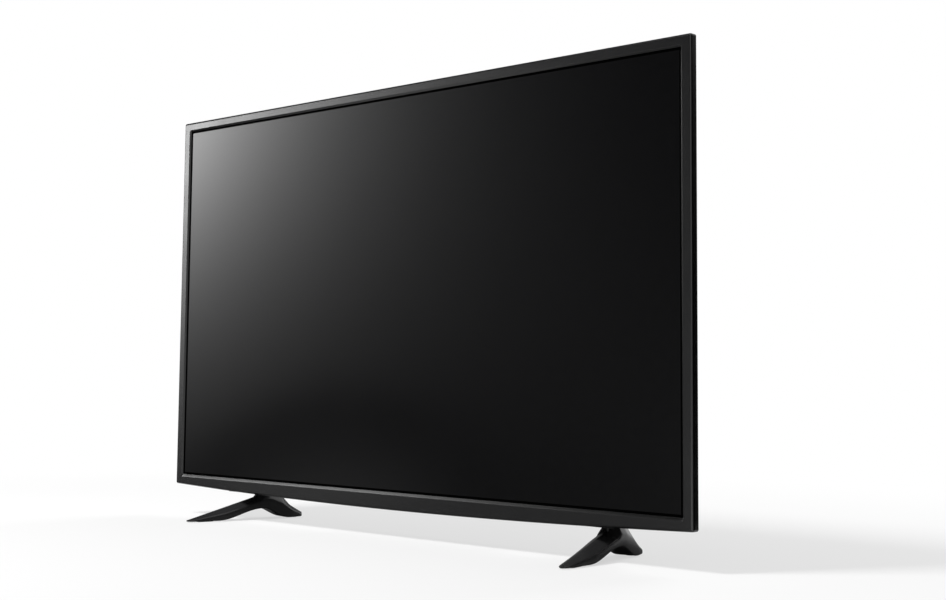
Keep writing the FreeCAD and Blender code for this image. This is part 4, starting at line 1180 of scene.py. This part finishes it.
@dataclass(frozen=True)
class Lamp:
    """A square soft lamp that no reflection shows, in metres and watts."""

    name: str
    place: Place
    aim: Place
    size: float
    power: float

    def build(self) -> None:
        """Hangs the lamp and turns it to its aim."""
        data = bpy.data.lights.new(self.name, "AREA")
        data.size = self.size
        data.energy = self.power
        made = bpy.data.objects.new(self.name, data)
        made.location = self.place
        towards = Vector(self.aim) - Vector(self.place)
        made.rotation_euler = towards.to_track_quat("-Z", "Y").to_euler()
        made.visible_camera = False
        made.visible_glossy = False
        bpy.context.scene.collection.objects.link(made)


CARDS = (
    Card("dark_side", (1.65, 1.3, 0.4), (0.4875, 0.0, 0.3), 1.0, 0.01),
    Card("dark_right", (2.3, -0.2, 0.3), (0.2, 0.0, 0.1), 1.9, 0.01),
    Card("dark_top", (-1.2, 0.2, 1.9), (0.0, 0.0, 0.6), 1.5, 0.01),
    Card("dark_back", (-1.6, 1.7, 1.0), (0.0, 0.0, 0.5), 1.3, 0.15),
    Card("edge_light", (0.75, -2.2, 0.75), (0.4875, 0.0, 0.4), 0.5, 2.5, True),
    Card("bevel_light", (-1.77, -1.27, 1.42), (0.0, 0.0, 0.06), 0.65, 1.6, True),
    Card("low_light", (-1.54, -1.27, -0.27), (0.0, 0.0, 0.05), 0.5, 0.74, True),
)
LAMPS = (
    Lamp("key", (-0.6, -1.6, 2.4), (0.0, 0.0, 0.2), 0.7, 80.0),
    Lamp("back_fill", (0.1, 2.4, 1.6), (0.0, 0.0, 0.3), 1.6, 36.0),
)


@dataclass
class Studio:
    """A pale floor, soft light and the camera, in metres; lens lengths are in picture points."""

    eye: Place = (1.4878, -1.4153, 0.2197)
    forward: Place = (-0.69050, 0.71772, 0.08998)
    roll: float = 0.479
    focal: float = 1519.0
    principal: tuple[float, float] = (473.5, 235.5)
    sensor: float = 36.0
    ambient: float = 0.35
    floor_half: float = 12.0
    floor_pale: tuple[Colour, Colour] = ((0.76, 0.76, 0.76), (0.79, 0.79, 0.79))
    floor_unseen: Colour = (0.22, 0.22, 0.22)
    floor_clouds: Place = (0.6, 0.6, 0.6)
    self_lit: float = 0.6
    fade_out: tuple[float, float] = (0.6, 1.5)
    mirror_gap: tuple[float, float] = (0.42, 0.5)

    def camera(self) -> None:
        """Sets the camera where the picture was taken from."""
        ahead = Vector(self.forward).normalized()
        level = ahead.cross(UPWARDS).normalized()
        down = ahead.cross(level)
        a = math.radians(self.roll)
        right = level * math.cos(a) - down * math.sin(a)
        below = ahead.cross(right)
        data = bpy.data.cameras.new("camera")
        data.sensor_width = self.sensor
        data.lens = self.focal * self.sensor / PICTURE[0]
        data.shift_x = (PICTURE[0] / 2 - self.principal[0]) / PICTURE[0]
        data.shift_y = (self.principal[1] - PICTURE[1] / 2) / PICTURE[0]
        data.clip_start = 0.01
        made = bpy.data.objects.new("camera", data)
        turn = Matrix((right, -below, -ahead)).transposed()
        made.matrix_world = Matrix.Translation(Vector(self.eye)) @ turn.to_4x4()
        bpy.context.scene.collection.objects.link(made)
        bpy.context.scene.camera = made

    def world(self) -> None:
        """A white background for the eye and for reflections, and a plain soft light elsewhere."""
        world = bpy.data.worlds.new("studio")
        bpy.context.scene.world = world
        sheet = Sheet(world)
        seen = sheet.ray("Is Camera Ray") + sheet.ray("Is Glossy Ray") + sheet.ray("Is Transmission Ray")
        level = seen.step(0.0, 1.0) * (1.0 - self.ambient) + self.ambient
        sheet.add_output(
            sheet.add("ShaderNodeBackground", None, {"Color": level, "Strength": 1.0}),
            "ShaderNodeOutputWorld",
        )

    def floor(self) -> None:
        """A wide pale floor that fades to white far from the object, and holds its shadow.

        Reflections see through it past the mirror gap, where it would hide the cards.
        """
        half = self.floor_half / MM
        corners = [[(-half, -half, 0.0), (half, -half, 0.0)], [(-half, half, 0.0), (half, half, 0.0)]]
        made = Skin("floor").grid(np.array(corners), round_columns=False).build()
        material = bpy.data.materials.new("floor")
        sheet = Sheet(material)
        distance = sheet.away()
        eye = sheet.ray("Is Camera Ray")
        own_light = distance.step(*self.fade_out) * (1.0 - self.self_lit) + self.self_lit
        pale = sheet.mix(sheet.noise(self.floor_clouds), *self.floor_pale)
        matt = sheet.add("ShaderNodeBsdfDiffuse", None, {"Color": sheet.mix(eye, self.floor_unseen, pale)})
        white = sheet.add("ShaderNodeEmission", None, {"Color": opaque((1.0, 1.0, 1.0)), "Strength": 1.0})
        clear = sheet.add("ShaderNodeBsdfTransparent")
        gap = sheet.ray("Is Glossy Ray") * distance.step(*self.mirror_gap)
        sheet.add_output(sheet.blend(gap, sheet.blend(eye * own_light, matt, white), clear))
        made.data.materials.append(material)

    def build(self) -> None:
        """Sets the whole studio."""
        bpy.context.scene.view_settings.view_transform = "Standard"
        self.camera()
        self.world()
        self.floor()
        for piece in (Glow(), *CARDS, *LAMPS):
            piece.build()


def main() -> None:
    """Builds the television and its studio."""
    logging.basicConfig(level=logging.INFO, format="%(name)s: %(message)s")
    Studio().build()
    LOG.info("%d pieces of the model dressed", WARDROBE.dress_nodes())
    for part in (FrontFrame(), Leg(1, "right_leg"), Leg(-1, "left_leg"), CoverScrews()):
        made = part.build()
        LOG.info("%s: %d faces", made.name, len(made.data.polygons))


if __name__ == "__main__":
    main()
